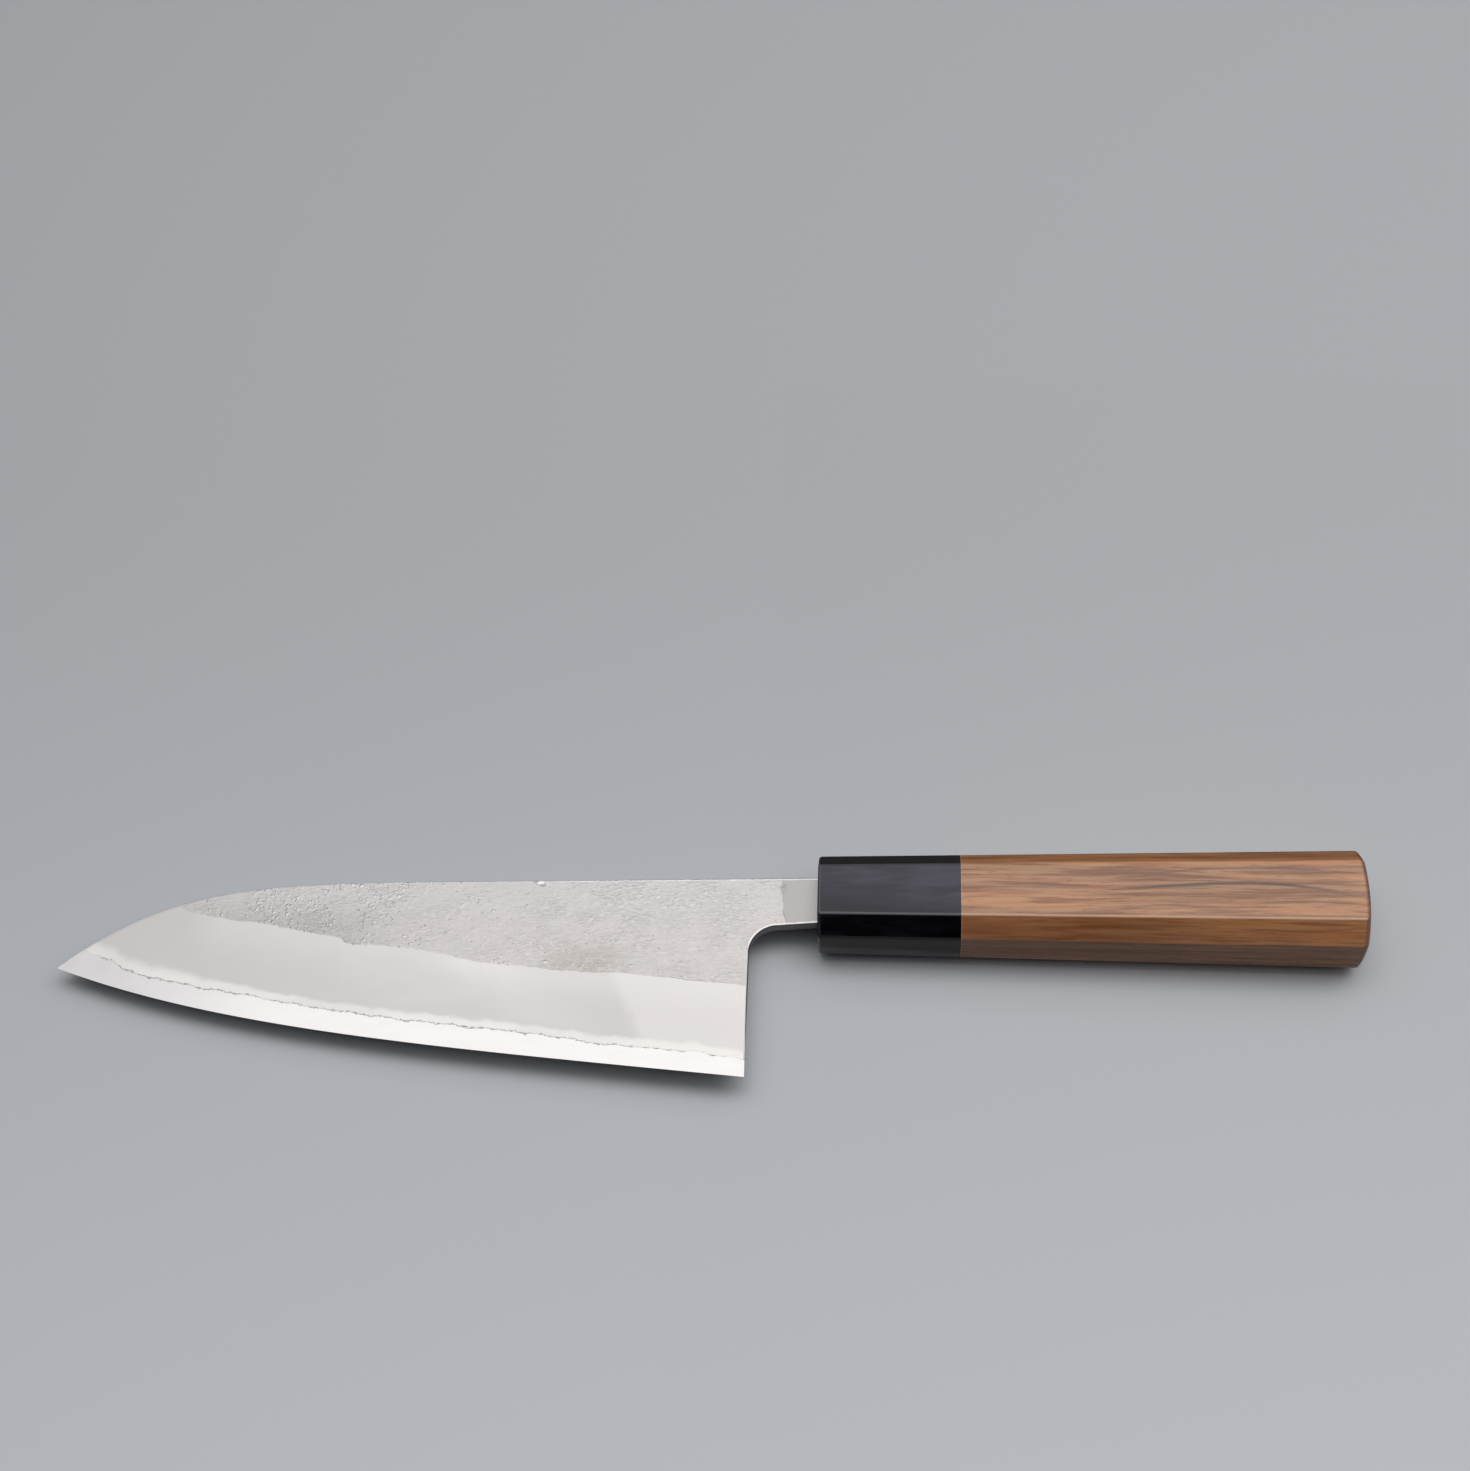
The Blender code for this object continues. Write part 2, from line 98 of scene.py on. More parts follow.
# Blade section
NECK_THICKNESS = 0.0035
TIP_THICKNESS = 0.0012
FLAT_TAPER = math.radians(0.7)
BEVEL_HEIGHT_HEEL = 0.0223
BEVEL_HEIGHT_TIP = 0.0252
CORE_BAND = 0.0055
CORE_THICKNESS_NECK = 0.0008
CORE_THICKNESS_TIP = 0.0004
SHARPENED_HEIGHT = 0.0006
SHARPENED_THICKNESS = 0.00018
CORNER_EASE = 0.00035
SPINE_EASE_SHARE = 0.4
EASE_LIMIT = 0.7
EASE_STEPS = 3
WELD_GAP = 0.00002
WELD_STEP = 0.000008
WELD_TUCK = 0.0004

# Tang, which the handle hides
TANG_WIDTH = 0.0090
TANG_END_WIDTH = 0.0055
TANG_END_THICKNESS = 0.0022
TANG_END_X = 0.1025
TANG_POINT = 0.0020
SHOULDER_X = 0.0030
TANG_START_X = 0.0035

# Mesh spacing
OUTLINE_SPACING = 0.00035
SKIN_SPACING = 0.00028
BEVEL_SPACING = 0.0009
LEAST_GAP = 0.00022
FINE_PAST_RIDGE = 0.003
FINE_BELOW_RIDGE = 0.0012
WELD_INSET = 0.001
SHARPENED_INSET = 0.003
MERGE = 0.0000005
HALVINGS = 40

HEEL_X = -NECK_LENGTH
TIP_X = HEEL_X - BLADE_LENGTH
WOOD_FRONT_X = FERRULE_LENGTH + GLUE_LINE


def mix(a, b, share):
    return a + (b - a) * share


def fade(none, full, value):
    """0 at none, 1 at full and beyond, smooth between."""
    share = min(1.0, max(0.0, (value - none) / (full - none)))
    return share * share * (3 - 2 * share)


def bumps(x, y, scale, seed):
    """Smooth noise from about -1 to 1 with features of that size."""
    return noise.noise(Vector((x / scale, y / scale, seed)))


# Blade outline

def heading(angle):
    return Vector((math.cos(angle), math.sin(angle)))


def bezier(curve, t):
    a, b, c, d = curve
    return a * (1 - t) ** 3 + b * 3 * t * (1 - t) ** 2 + c * 3 * t * t * (1 - t) + d * t**3


def last_place(low, high, holds):
    """The value up to which holds(value) is true; it is true at low and false at high."""
    for _ in range(HALVINGS):
        middle = (low + high) / 2
        if holds(middle):
            low = middle
        else:
            high = middle
    return (low + high) / 2


def height_at(curve, x):
    """The y of a curve that runs steadily towards -X, where it passes x."""
    t = last_place(0.0, 1.0, lambda share: bezier(curve, share).x > x)
    return bezier(curve, t).y


def spine_line(x):
    return SPINE_RISE + math.tan(SPINE_FALL) * x


TIP = Vector((TIP_X, -TIP_DROP))
HEEL = Vector((HEEL_X, -HEEL_DROP))
NOSE = Vector((-NOSE_START, spine_line(-NOSE_START)))
NOSE_RUN = NOSE.x - TIP_X
NOSE_CURVE = (
    NOSE,
    NOSE - NOSE_FULLNESS * NOSE_RUN * heading(SPINE_FALL),
    TIP + TIP_FULLNESS * NOSE_RUN * heading(TIP_SPINE_ANGLE),
    TIP,
)
EDGE_CURVE = (
    HEEL,
    HEEL - EDGE_HEEL_FULLNESS * BLADE_LENGTH * heading(-EDGE_HEEL_ANGLE),
    TIP + EDGE_TIP_FULLNESS * BLADE_LENGTH * heading(-EDGE_TIP_ANGLE),
    TIP,
)
TABLE_STEP = 0.00025


def tabulated(curve_y):
    """The same function of x, read from a table worked out once, because it is asked very often."""
    count = math.ceil((HEEL_X - TIP_X) / TABLE_STEP)
    values = [curve_y(mix(TIP_X, HEEL_X, i / count)) for i in range(count + 1)]

    def read(x):
        place = min(max(0.0, (x - TIP_X) / (HEEL_X - TIP_X)) * count, count - 1e-9)
        i = int(place)
        return mix(values[i], values[i + 1], place - i)

    return read


edge_y = tabulated(lambda x: height_at(EDGE_CURVE, x))
nose_y = tabulated(lambda x: height_at(NOSE_CURVE, x) if x < NOSE.x else spine_line(x))


def spine_y(x):
    return spine_line(x) if x >= NOSE.x else nose_y(x)


UNDERSIDE_Y = SPINE_RISE - NECK_DEPTH
CHOIL_X = HEEL_X + CHOIL_RADIUS
CHOIL_Y = UNDERSIDE_Y + math.tan(NECK_FLARE) * CHOIL_X - CHOIL_RADIUS / math.cos(NECK_FLARE)


def neck_underside(x):
    return UNDERSIDE_Y + math.tan(NECK_FLARE) * min(x, 0.0)


# Blade section, as half thicknesses

def core_half(x):
    return mix(CORE_THICKNESS_NECK, CORE_THICKNESS_TIP, max(0.0, x / TIP_X)) / 2


def flat_half(x, y):
    if x < 0:
        thickness = mix(NECK_THICKNESS, TIP_THICKNESS, x / TIP_X)
    else:
        thickness = mix(NECK_THICKNESS, TANG_END_THICKNESS, x / TANG_END_X)
    return thickness / 2 - math.tan(FLAT_TAPER) * (spine_line(min(x, 0.0)) - y)


def bevel_height(x):
    return mix(BEVEL_HEIGHT_HEEL, BEVEL_HEIGHT_TIP, (HEEL_X - x) / BLADE_LENGTH)


def where_depth_is(depth):
    """The x where the blade, narrowing to its tip, is this deep."""
    return last_place(TIP_X, HEEL_X, lambda x: spine_y(x) - edge_y(x) < depth(x))


RIDGE_END_X = where_depth_is(bevel_height)
CLADDING_END_X = where_depth_is(lambda x: CORE_BAND)


def bevel_slope(x):
    at = max(x, RIDGE_END_X)
    ridge_half = flat_half(at, edge_y(at) + bevel_height(at))
    return (ridge_half - core_half(at)) / (bevel_height(at) - CORE_BAND)


def bevel_half(x, height):
    """Half the ground blade's thickness at this height above the edge."""
    core = core_half(x)
    thin = SHARPENED_THICKNESS / 2
    if height < SHARPENED_HEIGHT:
        return thin * max(0.0, height) / SHARPENED_HEIGHT
    if height < CORE_BAND:
        return mix(thin, core, (height - SHARPENED_HEIGHT) / (CORE_BAND - SHARPENED_HEIGHT))
    return core + bevel_slope(x) * (height - CORE_BAND)


def ease(x):
    """The rounding along spine, heel and choil, which fades to nothing at the cladding's end."""
    return CORNER_EASE * min(1.0, max(0.0, (x - CLADDING_END_X) / (HEEL_X - CLADDING_END_X)))


def rim_wear_highlight(point):
    """How much wear and painted highlight lies on the rounding, from 0 to 1: not at the heel and the tip.
    """
    return ease(point.x) / CORNER_EASE * fade(CHOIL_Y, CHOIL_Y + CHOIL_RADIUS / 2, point.y)


# Surface of the steel

WELD_HEIGHTS = (
    (-0.180, 0.0070), (-0.174, 0.0063), (-0.167, 0.0050), (-0.141, 0.0055), (-0.077, 0.0055),
    (-0.049, 0.0049), (-0.034, 0.0049), (-0.017, 0.0041),
)
# The burr's place, which the relief raises and the materials give a painted highlight; then the place of
# the painted shade at its foot
BURR = (-0.0682, 0.0047)
BURR_PAINTED_SHADE = (-0.0676, 0.0041)
NICK_X = -0.1165
GROUND_NOSE = 0.004

# What the blade's attributes say in mm well away from the skin's border and from the weld line
SKIN_REACH = 8.0
FAR_FROM_WELD = 20.0

# Relief of the forged skin: heights in mm, sizes and places in metres, each place from none to full
LUMP_HEIGHT, LUMP_SIZE = 0.055, 0.0013
RIPPLE_HEIGHT, RIPPLE_SIZE, RIPPLE_STRETCH = 0.018, 0.0011, 0.45
WAVE_HEIGHT, WAVE_SIZE, WAVE_X = 0.016, 0.009, (-0.006, -0.02)
BURR_HEIGHT, BURR_EDGE = 0.25, (0.0011, 0.0002)
WELD_WANDER = ((0.52, 0.0050, 8.3), (0.30, 0.0017, 2.7))
NICK_DEPTH, NICK_FACE, NICK_LENGTH = 0.018, 0.0018, 0.018
DIP_DEPTH, DIP_START, DIP_END = 0.031, (-0.092, -0.083), (-0.046, -0.058)
STEP_RISE = (0.012, 0.003)
CLUSTER_SIZE = 0.007
CRUST_TIP_X = (-0.068, -0.122)
CRUST_NOSE_X = (-0.151, -0.136)
CRUST_SPINE_Y = (-0.024, 0.002)
CRUST_LOW_START, CRUST_LOW_END = (-0.090, -0.075), (-0.028, -0.045)


def weld_level(x):
    """The weld line's height above the edge without its wander."""
    for (start, low), (end, high) in zip(WELD_HEIGHTS, WELD_HEIGHTS[1:]):
        if x < end:
            return mix(low, high, fade(start, end, x))
    return WELD_HEIGHTS[-1][1]


def weld_height(x, side):
    """Height above the edge at which the cladding ends: a wandering line, higher near the tip."""
    wander = sum(height * bumps(x, side, size, seed) for height, size, seed in WELD_WANDER)
    return weld_level(x) + wander * MM


def neck_patch_x(y):
    """Where the forged skin ends and the smooth neck begins."""
    return -0.0085 - 0.10 * (y - 0.0005) + 0.0005 * bumps(y, 0.0, 0.0025, 6.4)


def above_ridge(x, y):
    return y - edge_y(x) - bevel_height(x)


def crusting(x, y, side):
    """How thickly crumbs of crust lie on the forged skin here, from 0 to 1."""
    clusters = mix(0.15, 1.0, fade(-0.30, 0.30, bumps(x, y, CLUSTER_SIZE, 10.0 * side + 1.7)))
    towards_tip = fade(*CRUST_TIP_X, x) * mix(0.35, 1.0, fade(*CRUST_NOSE_X, x))
    towards_spine = fade(*CRUST_SPINE_Y, y)
    low = fade(*STEP_RISE, above_ridge(x, y)) * fade(*CRUST_LOW_START, x) * fade(*CRUST_LOW_END, x)
    return clusters * max(0.45 * low, mix(0.30, 1.0, towards_tip) * mix(0.45, 1.0, towards_spine))


def ridge_steps(x):
    """How much lower in mm the left skin lies past two small steps of its border with the bevel."""
    nick = NICK_DEPTH * fade(0.0, NICK_FACE, x - NICK_X) * fade(NICK_LENGTH, 0.0, x - NICK_X)
    return nick + DIP_DEPTH * fade(*DIP_START, x) * fade(*DIP_END, x)


def relief(x, y, side):
    """Height of the forged skin over the flat: lumps of crust and fine ripples on a gentle waviness."""
    seed = 10.0 * side
    lumps = LUMP_HEIGHT * max(0.0, bumps(x, y, LUMP_SIZE, seed + 5.9) - 0.10) * crusting(x, y, side)
    ripple = RIPPLE_HEIGHT * bumps(x * RIPPLE_STRETCH, y, RIPPLE_SIZE, seed + 9.4)
    wave = WAVE_HEIGHT * bumps(x, y, WAVE_SIZE, seed + 3.1) * fade(*WAVE_X, x)
    forged = fade(0.0003, -0.0006, x - neck_patch_x(y))
    height = above_ridge(x, y)
    rough = (lumps + ripple) * forged * mix(0.15, 1.0, fade(0.0, 0.0018, height))
    if side < 0:
        return (wave + rough) * MM
    sunk = ridge_steps(x) * fade(*STEP_RISE, height)
    burr = BURR_HEIGHT * fade(*BURR_EDGE, math.hypot((x - BURR[0]) / 2, y - BURR[1]))
    return (wave - sunk + rough + burr) * MM


def cladding_half(x, y, side):
    """(half thickness, how far in mm the forged skin lies inside its border with the bevel)."""
    if x >= HEEL_X:
        return flat_half(x, y) + (relief(x, y, side) if x < 0 else 0.0), SKIN_REACH
    ground = bevel_half(x, y - edge_y(x))
    if x < RIDGE_END_X - GROUND_NOSE:
        return ground, -SKIN_REACH
    skin = flat_half(x, y) + relief(x, y, side)
    lift = (ground - skin) / bevel_slope(x) / MM
    return min(skin, ground), max(-SKIN_REACH, min(SKIN_REACH, lift))


# Outline paths of the steel

def stations(start, end, spacing=OUTLINE_SPACING):
    count = max(1, math.ceil(abs(end - start) / spacing))
    return [mix(start, end, i / count) for i in range(count + 1)]


def over_edge(height, start, end):
    return [Vector((x, edge_y(x) + height(x))) for x in stations(start, end)]


def rim_path(low_y, end_x):
    """From the heel at low_y round choil, neck and tang, and back along the spine to end_x."""
    path = [Vector((HEEL_X, y)) for y in stations(low_y, CHOIL_Y)[:-1]]
    centre = Vector((CHOIL_X, CHOIL_Y))
    for turn in stations(0.0, math.pi / 2 - NECK_FLARE, OUTLINE_SPACING / CHOIL_RADIUS):
        path.append(centre + CHOIL_RADIUS * heading(math.pi - turn))
    path += [Vector((x, neck_underside(x))) for x in stations(path[-1].x, 0.0)[1:]]
    half, half_end = TANG_WIDTH / 2, TANG_END_WIDTH / 2
    path += [
        Vector((SHOULDER_X, UNDERSIDE_Y)),
        Vector((TANG_START_X, -half)),
        Vector((TANG_END_X - TANG_POINT, -half_end)),
        Vector((TANG_END_X, -half_end / 2)),
        Vector((TANG_END_X, half_end / 2)),
        Vector((TANG_END_X - TANG_POINT, half_end)),
        Vector((TANG_START_X, half)),
        Vector((SHOULDER_X, spine_line(SHOULDER_X))),
    ]
    return path + [Vector((x, spine_y(x))) for x in stations(0.0, end_x)]


def outward_normals(path):
    """Normals of an open path that has the steel on its left."""
    normals = []
    for i in range(len(path)):
        along = (path[min(len(path) - 1, i + 1)] - path[max(0, i - 1)]).normalized()
        normals.append(Vector((along.y, -along.x)))
    normals[0] = Vector((1.0, 0.0))
    return normals


def lattice(end_x, spacing, inside):
    """Points of a triangular lattice from the tip to end_x, where inside(x, y) holds."""
    points = []
    row_height = spacing * math.sqrt(0.75)
    for row in range(math.ceil((spine_line(0.0) + HEEL_DROP) / row_height)):
        y = row * row_height - HEEL_DROP
        for i in range(math.ceil((end_x - TIP_X) / spacing)):
            x = TIP_X + (i + 0.5 * (row % 2)) * spacing
            if inside(x, y):
                points.append(Vector((x, y)))
    return points


def triangulated(loop, points=(), line=()):
    """(points, triangles, place of each given point) inside a closed loop, along an open line."""
    given = list(loop) + list(points) + list(line)
    first = len(loop) + len(points)
    along = [(first + i, first + i + 1) for i in range(len(line) - 1)]
    made, _, triangles, origins, _, _ = delaunay_2d_cdt(given, along, [list(range(len(loop)))], 1, 1e-9)
    places = {old: new for new, olds in enumerate(origins) for old in olds}
    return made, triangles, places


# Steel pieces

def new_object(name, bm, materials):
    mesh = bpy.data.meshes.new(name)
    bm.to_mesh(mesh)
    bm.free()
    mesh.shade_smooth()
    piece = bpy.data.objects.new(name, mesh)
    bpy.context.collection.objects.link(piece)
    for item in materials:
        mesh.materials.append(item)
    return piece


BLADE_MARKS = ("skin", "weld", "neck", "crust", "worn_highlight")


class SteelMesh:
    """A mesh under construction whose vertices carry what the steel's materials read."""

    def __init__(self):
        self.bm = bmesh.new()
        layers = self.bm.verts.layers.float
        self.marks = [layers.new(name) for name in BLADE_MARKS]

    def vertex(self, point, z, skin, side, worn_highlight=0.0):
        made = self.bm.verts.new((point.x, point.y, z))
        on_blade = point.x < HEEL_X + MERGE
        weld = FAR_FROM_WELD
        if on_blade:
            weld = (point.y - edge_y(point.x) - weld_height(point.x, side)) / MM
        neck = (point.x - neck_patch_x(point.y)) / MM
        crust = crusting(point.x, point.y, side)
        for mark, value in zip(self.marks, (skin, weld, neck, crust, worn_highlight)):
            made[mark] = value
        return made

    def face(self, *corners):
        if len(set(corners)) == len(corners) and not self.bm.faces.get(corners):
            self.bm.faces.new(corners)

    def closed(self, name, materials):
        bmesh.ops.remove_doubles(self.bm, verts=self.bm.verts, dist=MERGE)
        bmesh.ops.recalc_face_normals(self.bm, faces=self.bm.faces)
        piece = new_object(name, self.bm, materials)
        piece.data.set_sharp_from_angle(angle=math.radians(40))
        return piece


def fine(x, y):
    """Whether the forged skin, or its border with the bevel, lies here."""
    if x < HEEL_X and y - edge_y(x) < bevel_height(x) - FINE_BELOW_RIDGE:
        return False
    return x > RIDGE_END_X - FINE_PAST_RIDGE


def clear_of_rim(x, y, side):
    """Whether a lattice point keeps its distance from the cladding's outline."""
    room = LEAST_GAP + CORNER_EASE
    if y > spine_y(x) - ease(x) - LEAST_GAP or x > -LEAST_GAP:
        return False
    if x < HEEL_X - room:
        return y > edge_y(x) + weld_height(x, side) + LEAST_GAP
    if x < CHOIL_X:
        return y > CHOIL_Y and math.hypot(x - CHOIL_X, y - CHOIL_Y) > CHOIL_RADIUS + room
    return y > neck_underside(x) + room


def rounded_rim(steel, rim, inner, normals, tops, side):
    """For each point of the rim, vertices from the outer face round the edge down to the core."""
    strips = []
    for point, inside, normal, top in zip(rim, inner, normals, tops):
        half = abs(top.co.z)
        foot = min(half, core_half(point.x) + WELD_GAP) if strips else half
        flatness = mix(1.0, SPINE_EASE_SHARE, fade(0.3, 0.9, normal.y))
        drop = min(ease(point.x) * flatness, (half - foot) * EASE_LIMIT)
        strip = [top]
        for step in range(1, EASE_STEPS + 1):
            turn = math.pi / 2 * step / EASE_STEPS
            place = inside.lerp(point, math.sin(turn))
            z = side * (half - drop * (1 - math.cos(turn)))
            strip.append(steel.vertex(place, z, SKIN_REACH, side, rim_wear_highlight(point)))
        strip.append(steel.vertex(point, side * foot, SKIN_REACH, side))
        strips.append(strip)
    return strips


def cladding(name, side, material):
    """One outer layer of soft steel. side is 1 for the face that lies up, -1 for the other."""
    start = where_depth_is(lambda x: weld_height(x, side))
    weld = over_edge(lambda x: weld_height(x, side), start, HEEL_X - CORNER_EASE)
    rim = rim_path(edge_y(HEEL_X) + weld_height(HEEL_X, side), start)[:-1]
    normals = outward_normals(rim)
    inner = [point - normal * ease(point.x) for point, normal in zip(rim, normals)]
    points = lattice(0.0, SKIN_SPACING, lambda x, y: fine(x, y) and clear_of_rim(x, y, side))
    points += lattice(HEEL_X, BEVEL_SPACING, lambda x, y: not fine(x, y) and clear_of_rim(x, y, side))
    weld[-1] = inner[0]
    steel = SteelMesh()

    made, triangles, places = triangulated(weld + inner[1:], points)
    on_rim = {places[len(weld) - 1 + i] for i in range(len(inner))}
    outer = []
    for i, point in enumerate(made):
        half, skin = cladding_half(point.x, point.y, side)
        worn_highlight = rim_wear_highlight(point) if i in on_rim else 0.0
        outer.append(steel.vertex(point, side * half, skin, side, worn_highlight))
    for corners in triangles:
        steel.face(*(outer[i] for i in corners))

    tops = [outer[places[len(weld) - 1 + i]] for i in range(len(inner))]
    strips = rounded_rim(steel, rim, inner, normals, tops, side)
    strips.append([outer[places[0]]] * (EASE_STEPS + 2))
    for one, two in zip(strips, strips[1:]):
        for j in range(EASE_STEPS + 1):
            ring = [one[j], two[j], two[j + 1], one[j + 1]]
            steel.face(*dict.fromkeys(ring))

    below = weld[:-1] + [Vector(vertex.co.xy) for vertex in strips[0][:-1]] + rim[1:]
    vertices = [outer[places[i]] for i in range(len(weld) - 1)]
    vertices += strips[0][:-1] + [strip[-1] for strip in strips[1:-1]]
    made, triangles, places = triangulated(below)
    back = {places[i]: vertex for i, vertex in enumerate(vertices)}
    for corners in triangles:
        steel.face(*(back[i] for i in corners))
    return steel.closed(name, [material])


def core(name, material):
    """The hard middle layer, bare along the edge and covered by both claddings above the weld lines."""
    edge = [Vector((x, edge_y(x))) for x in stations(TIP_X, HEEL_X, SKIN_SPACING)]
    rim = rim_path(HEEL.y, TIP_X)[1:-1]
    steel = SteelMesh()

    def half_at(x, y, side):
        height = y - edge_y(x)
        weld = weld_height(x, side)
        if x >= HEEL_X + MERGE:
            return core_half(x)
        if height <= weld + MERGE:
            return max(0.0, bevel_half(x, height) - min(WELD_STEP, height * 0.01))
        covered = fade(0.0, 1.0, (height - weld) / (spine_y(x) - edge_y(x) - weld))
        return mix(bevel_half(x, weld) - 3 * WELD_GAP, core_half(x), covered)

    borders = []
    for side in (1, -1):
        start = where_depth_is(lambda x: weld_height(x, side)) + WELD_INSET
        points = []
        for rise in (-WELD_TUCK, 0.0, 2 * MERGE + WELD_GAP):
            points += over_edge(lambda x: weld_height(x, side) + rise, start, HEEL_X - LEAST_GAP)
        sharpened = over_edge(lambda x: SHARPENED_HEIGHT, TIP_X + SHARPENED_INSET, HEEL_X - LEAST_GAP)
        made, triangles, places = triangulated(edge + rim, points, sharpened)
        vertices = [
            steel.vertex(point, side * half_at(point.x, point.y, side), -SKIN_REACH, side) for point in made
        ]
        for corners in triangles:
            steel.face(*(vertices[i] for i in corners))
        borders.append([vertices[places[i]] for i in range(len(edge) + len(rim))])
    left, right = borders
    first = len(edge) - 1
    for i in range(first, len(left)):
        j = (i + 1) % len(left)
        steel.face(left[i], right[i], right[j], left[j])
    return steel.closed(name, [material])


# Handle pieces

def octagon(x, inset=0.0):
    """The handle's section at x with rounded corners, drawn in all round by inset."""
    share = x / HANDLE_LENGTH
    half_width = mix(FRONT_WIDTH, REAR_WIDTH, share) / 2 - inset
    half_thickness = mix(FRONT_THICKNESS, REAR_THICKNESS, share) / 2 - inset
    corner_cut = mix(FRONT_CORNER_CUT, REAR_CORNER_CUT, share) - inset * (2 - math.sqrt(2))
    corners = []
    for side_y, side_z in ((1, 1), (-1, 1), (-1, -1), (1, -1)):
        on_side = Vector((x, side_y * half_width, side_z * (half_thickness - corner_cut)))
        on_flat = Vector((x, side_y * (half_width - corner_cut), side_z * half_thickness))
        corners += [on_side, on_flat] if side_y == side_z else [on_flat, on_side]
    ring = []
    for i, corner in enumerate(corners):
        before = (corners[i - 1] - corner).normalized() * FACET_EASE
        after = (corners[(i + 1) % len(corners)] - corner).normalized() * FACET_EASE
        for step in range(CORNER_STEPS + 1):
            share = step / CORNER_STEPS
            ring.append(corner + before * (1 - share) ** 2 + after * share**2)
        next_corner = corners[(i + 1) % len(corners)]
        facet_start, facet_end = corner + after, next_corner - after
        ring += [facet_start.lerp(facet_end, step / FACET_STEPS) for step in range(1, FACET_STEPS)]
    return ring


def rim_turns(radius):
    """(inset, distance from the end) of each octagon round a rim, from the facets to the end."""
    turns = [math.pi / 2 * i / RIM_STEPS for i in range(RIM_STEPS + 1)]
    return [(radius * (1 - math.cos(turn)), radius * (1 - math.sin(turn))) for turn in turns]


def on_dome(point, before=0.0):
    """The point moved along x to lie this far before the butt's domed end."""
    off_axis = math.hypot(point[1], point[2])
    sink = BUTT_DOME_RADIUS - math.sqrt(BUTT_DOME_RADIUS**2 - off_axis**2)
    return Vector((HANDLE_LENGTH - sink - before, point[1], point[2]))


def loft(name, rings, materials, apex=None):
    """A closed body through rings of equally many points; the last ring is drawn to the apex, if given."""
    bm = bmesh.new()
    loops = [[bm.verts.new(point) for point in ring] for ring in rings]
    for one, two in zip(loops, loops[1:]):
        for i in range(len(one)):
            j = (i + 1) % len(one)
            bm.faces.new((one[i], one[j], two[j], two[i]))
    bm.faces.new(loops[0])
    last = bm.faces.new(loops[-1])
    if apex:
        bmesh.ops.poke(bm, faces=[last])["verts"][0].co = apex
    bmesh.ops.recalc_face_normals(bm, faces=bm.faces)
    return new_object(name, bm, materials)


def cut_out(piece, *cutters):
    """Cuts the cutters out of the piece for good, and removes them."""
    for cutter in cutters:
        boolean = piece.modifiers.new("cut", "BOOLEAN")
        boolean.operation = "DIFFERENCE"
        boolean.solver = "EXACT"
        boolean.object = cutter
    bpy.context.view_layer.update()
    cut = piece.evaluated_get(bpy.context.evaluated_depsgraph_get())
    cut_mesh = bpy.data.meshes.new_from_object(cut)
    piece.modifiers.clear()
    piece.data = cut_mesh
    for cutter in cutters:
        bpy.data.objects.remove(cutter)
    piece.data.set_sharp_from_angle(angle=math.radians(50))


def ring_round(x, radius):
    turns = [2 * math.pi * i / BORE_SIDES for i in range(BORE_SIDES)]
    return [Vector((x, radius * math.cos(turn), radius * math.sin(turn))) for turn in turns]


def ferrule(material):
    rings = [octagon(FERRULE_LENGTH)]
    rings += [octagon(before, inset) for inset, before in rim_turns(FERRULE_RIM_RADIUS)]
    piece = loft("ferrule_polished", rings, [material])
    bore = loft("bore", [ring_round(x, BORE_RADIUS) for x in (FERRULE_FRONT_WALL, 2 * FERRULE_LENGTH)], [])
    half = NECK_THICKNESS / 2 + SLOT_FIT
    low, high = UNDERSIDE_Y - SLOT_FIT, spine_line(SHOULDER_X) + SLOT_FIT
    section = ((low, -half), (high, -half), (high, half), (low, half))
    slot = loft("slot", [[Vector((x, y, z)) for y, z in section] for x in SLOT_ENDS], [])
    cut_out(piece, bore, slot)
    return piece


def handle(material):
    rings = [octagon(WOOD_FRONT_X)]
    for inset, before in rim_turns(BUTT_RIM_RADIUS):
        rings.append([on_dome(point, before) for point in octagon(HANDLE_LENGTH, inset)])
    outermost = rings[-1]
    for i in range(1, DOME_STEPS):
        rings.append([on_dome(point * (1 - i / DOME_STEPS)) for point in outermost])
    piece = loft("handle_walnut", rings, [material], apex=(HANDLE_LENGTH, 0.0, 0.0))
    bore = loft("bore", [ring_round(x, BORE_RADIUS) for x in (BORE_START, BORE_END)], [])
    cut_out(piece, bore)
    return piece


def knife_frame():
    """The matrix that lays the knife on its lower flat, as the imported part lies."""
    turn = Matrix.Rotation(-math.atan(FLAT_RISE), 4, "Y")
    middle_x = (WOOD_FRONT_X + HANDLE_LENGTH) / 2
    on_flat = Vector((middle_x, 0.0, -FRONT_THICKNESS / 2 - FLAT_RISE * middle_x))
    return Matrix.Translation(-(turn @ on_flat)) @ turn


# Materials

SKIN_DARK = (0.473, 0.449, 0.434)
SKIN_LIGHT = (0.503, 0.475, 0.459)
SKIN_LOW = (0.388, 0.368, 0.353)
SKIN_STAIN = (0.400, 0.374, 0.345)
SKIN_COOL = (0.496, 0.477, 0.479)
# A pale colour for crumbs, ripple crests and the burr's top, partly a painted highlight; a dark one for
# pits, also painted shade in the ripples' hollows and at the burr's foot
SKIN_GRAIN_HIGHLIGHT = (0.80, 0.785, 0.775)
SKIN_PIT_AND_SHADE = (0.17, 0.16, 0.15)
NECK = (0.357, 0.341, 0.332)
# Paler steel for the rounding of spine, choil and neck: wear with a painted highlight
WORN_HIGHLIGHT = (0.70, 0.695, 0.69)
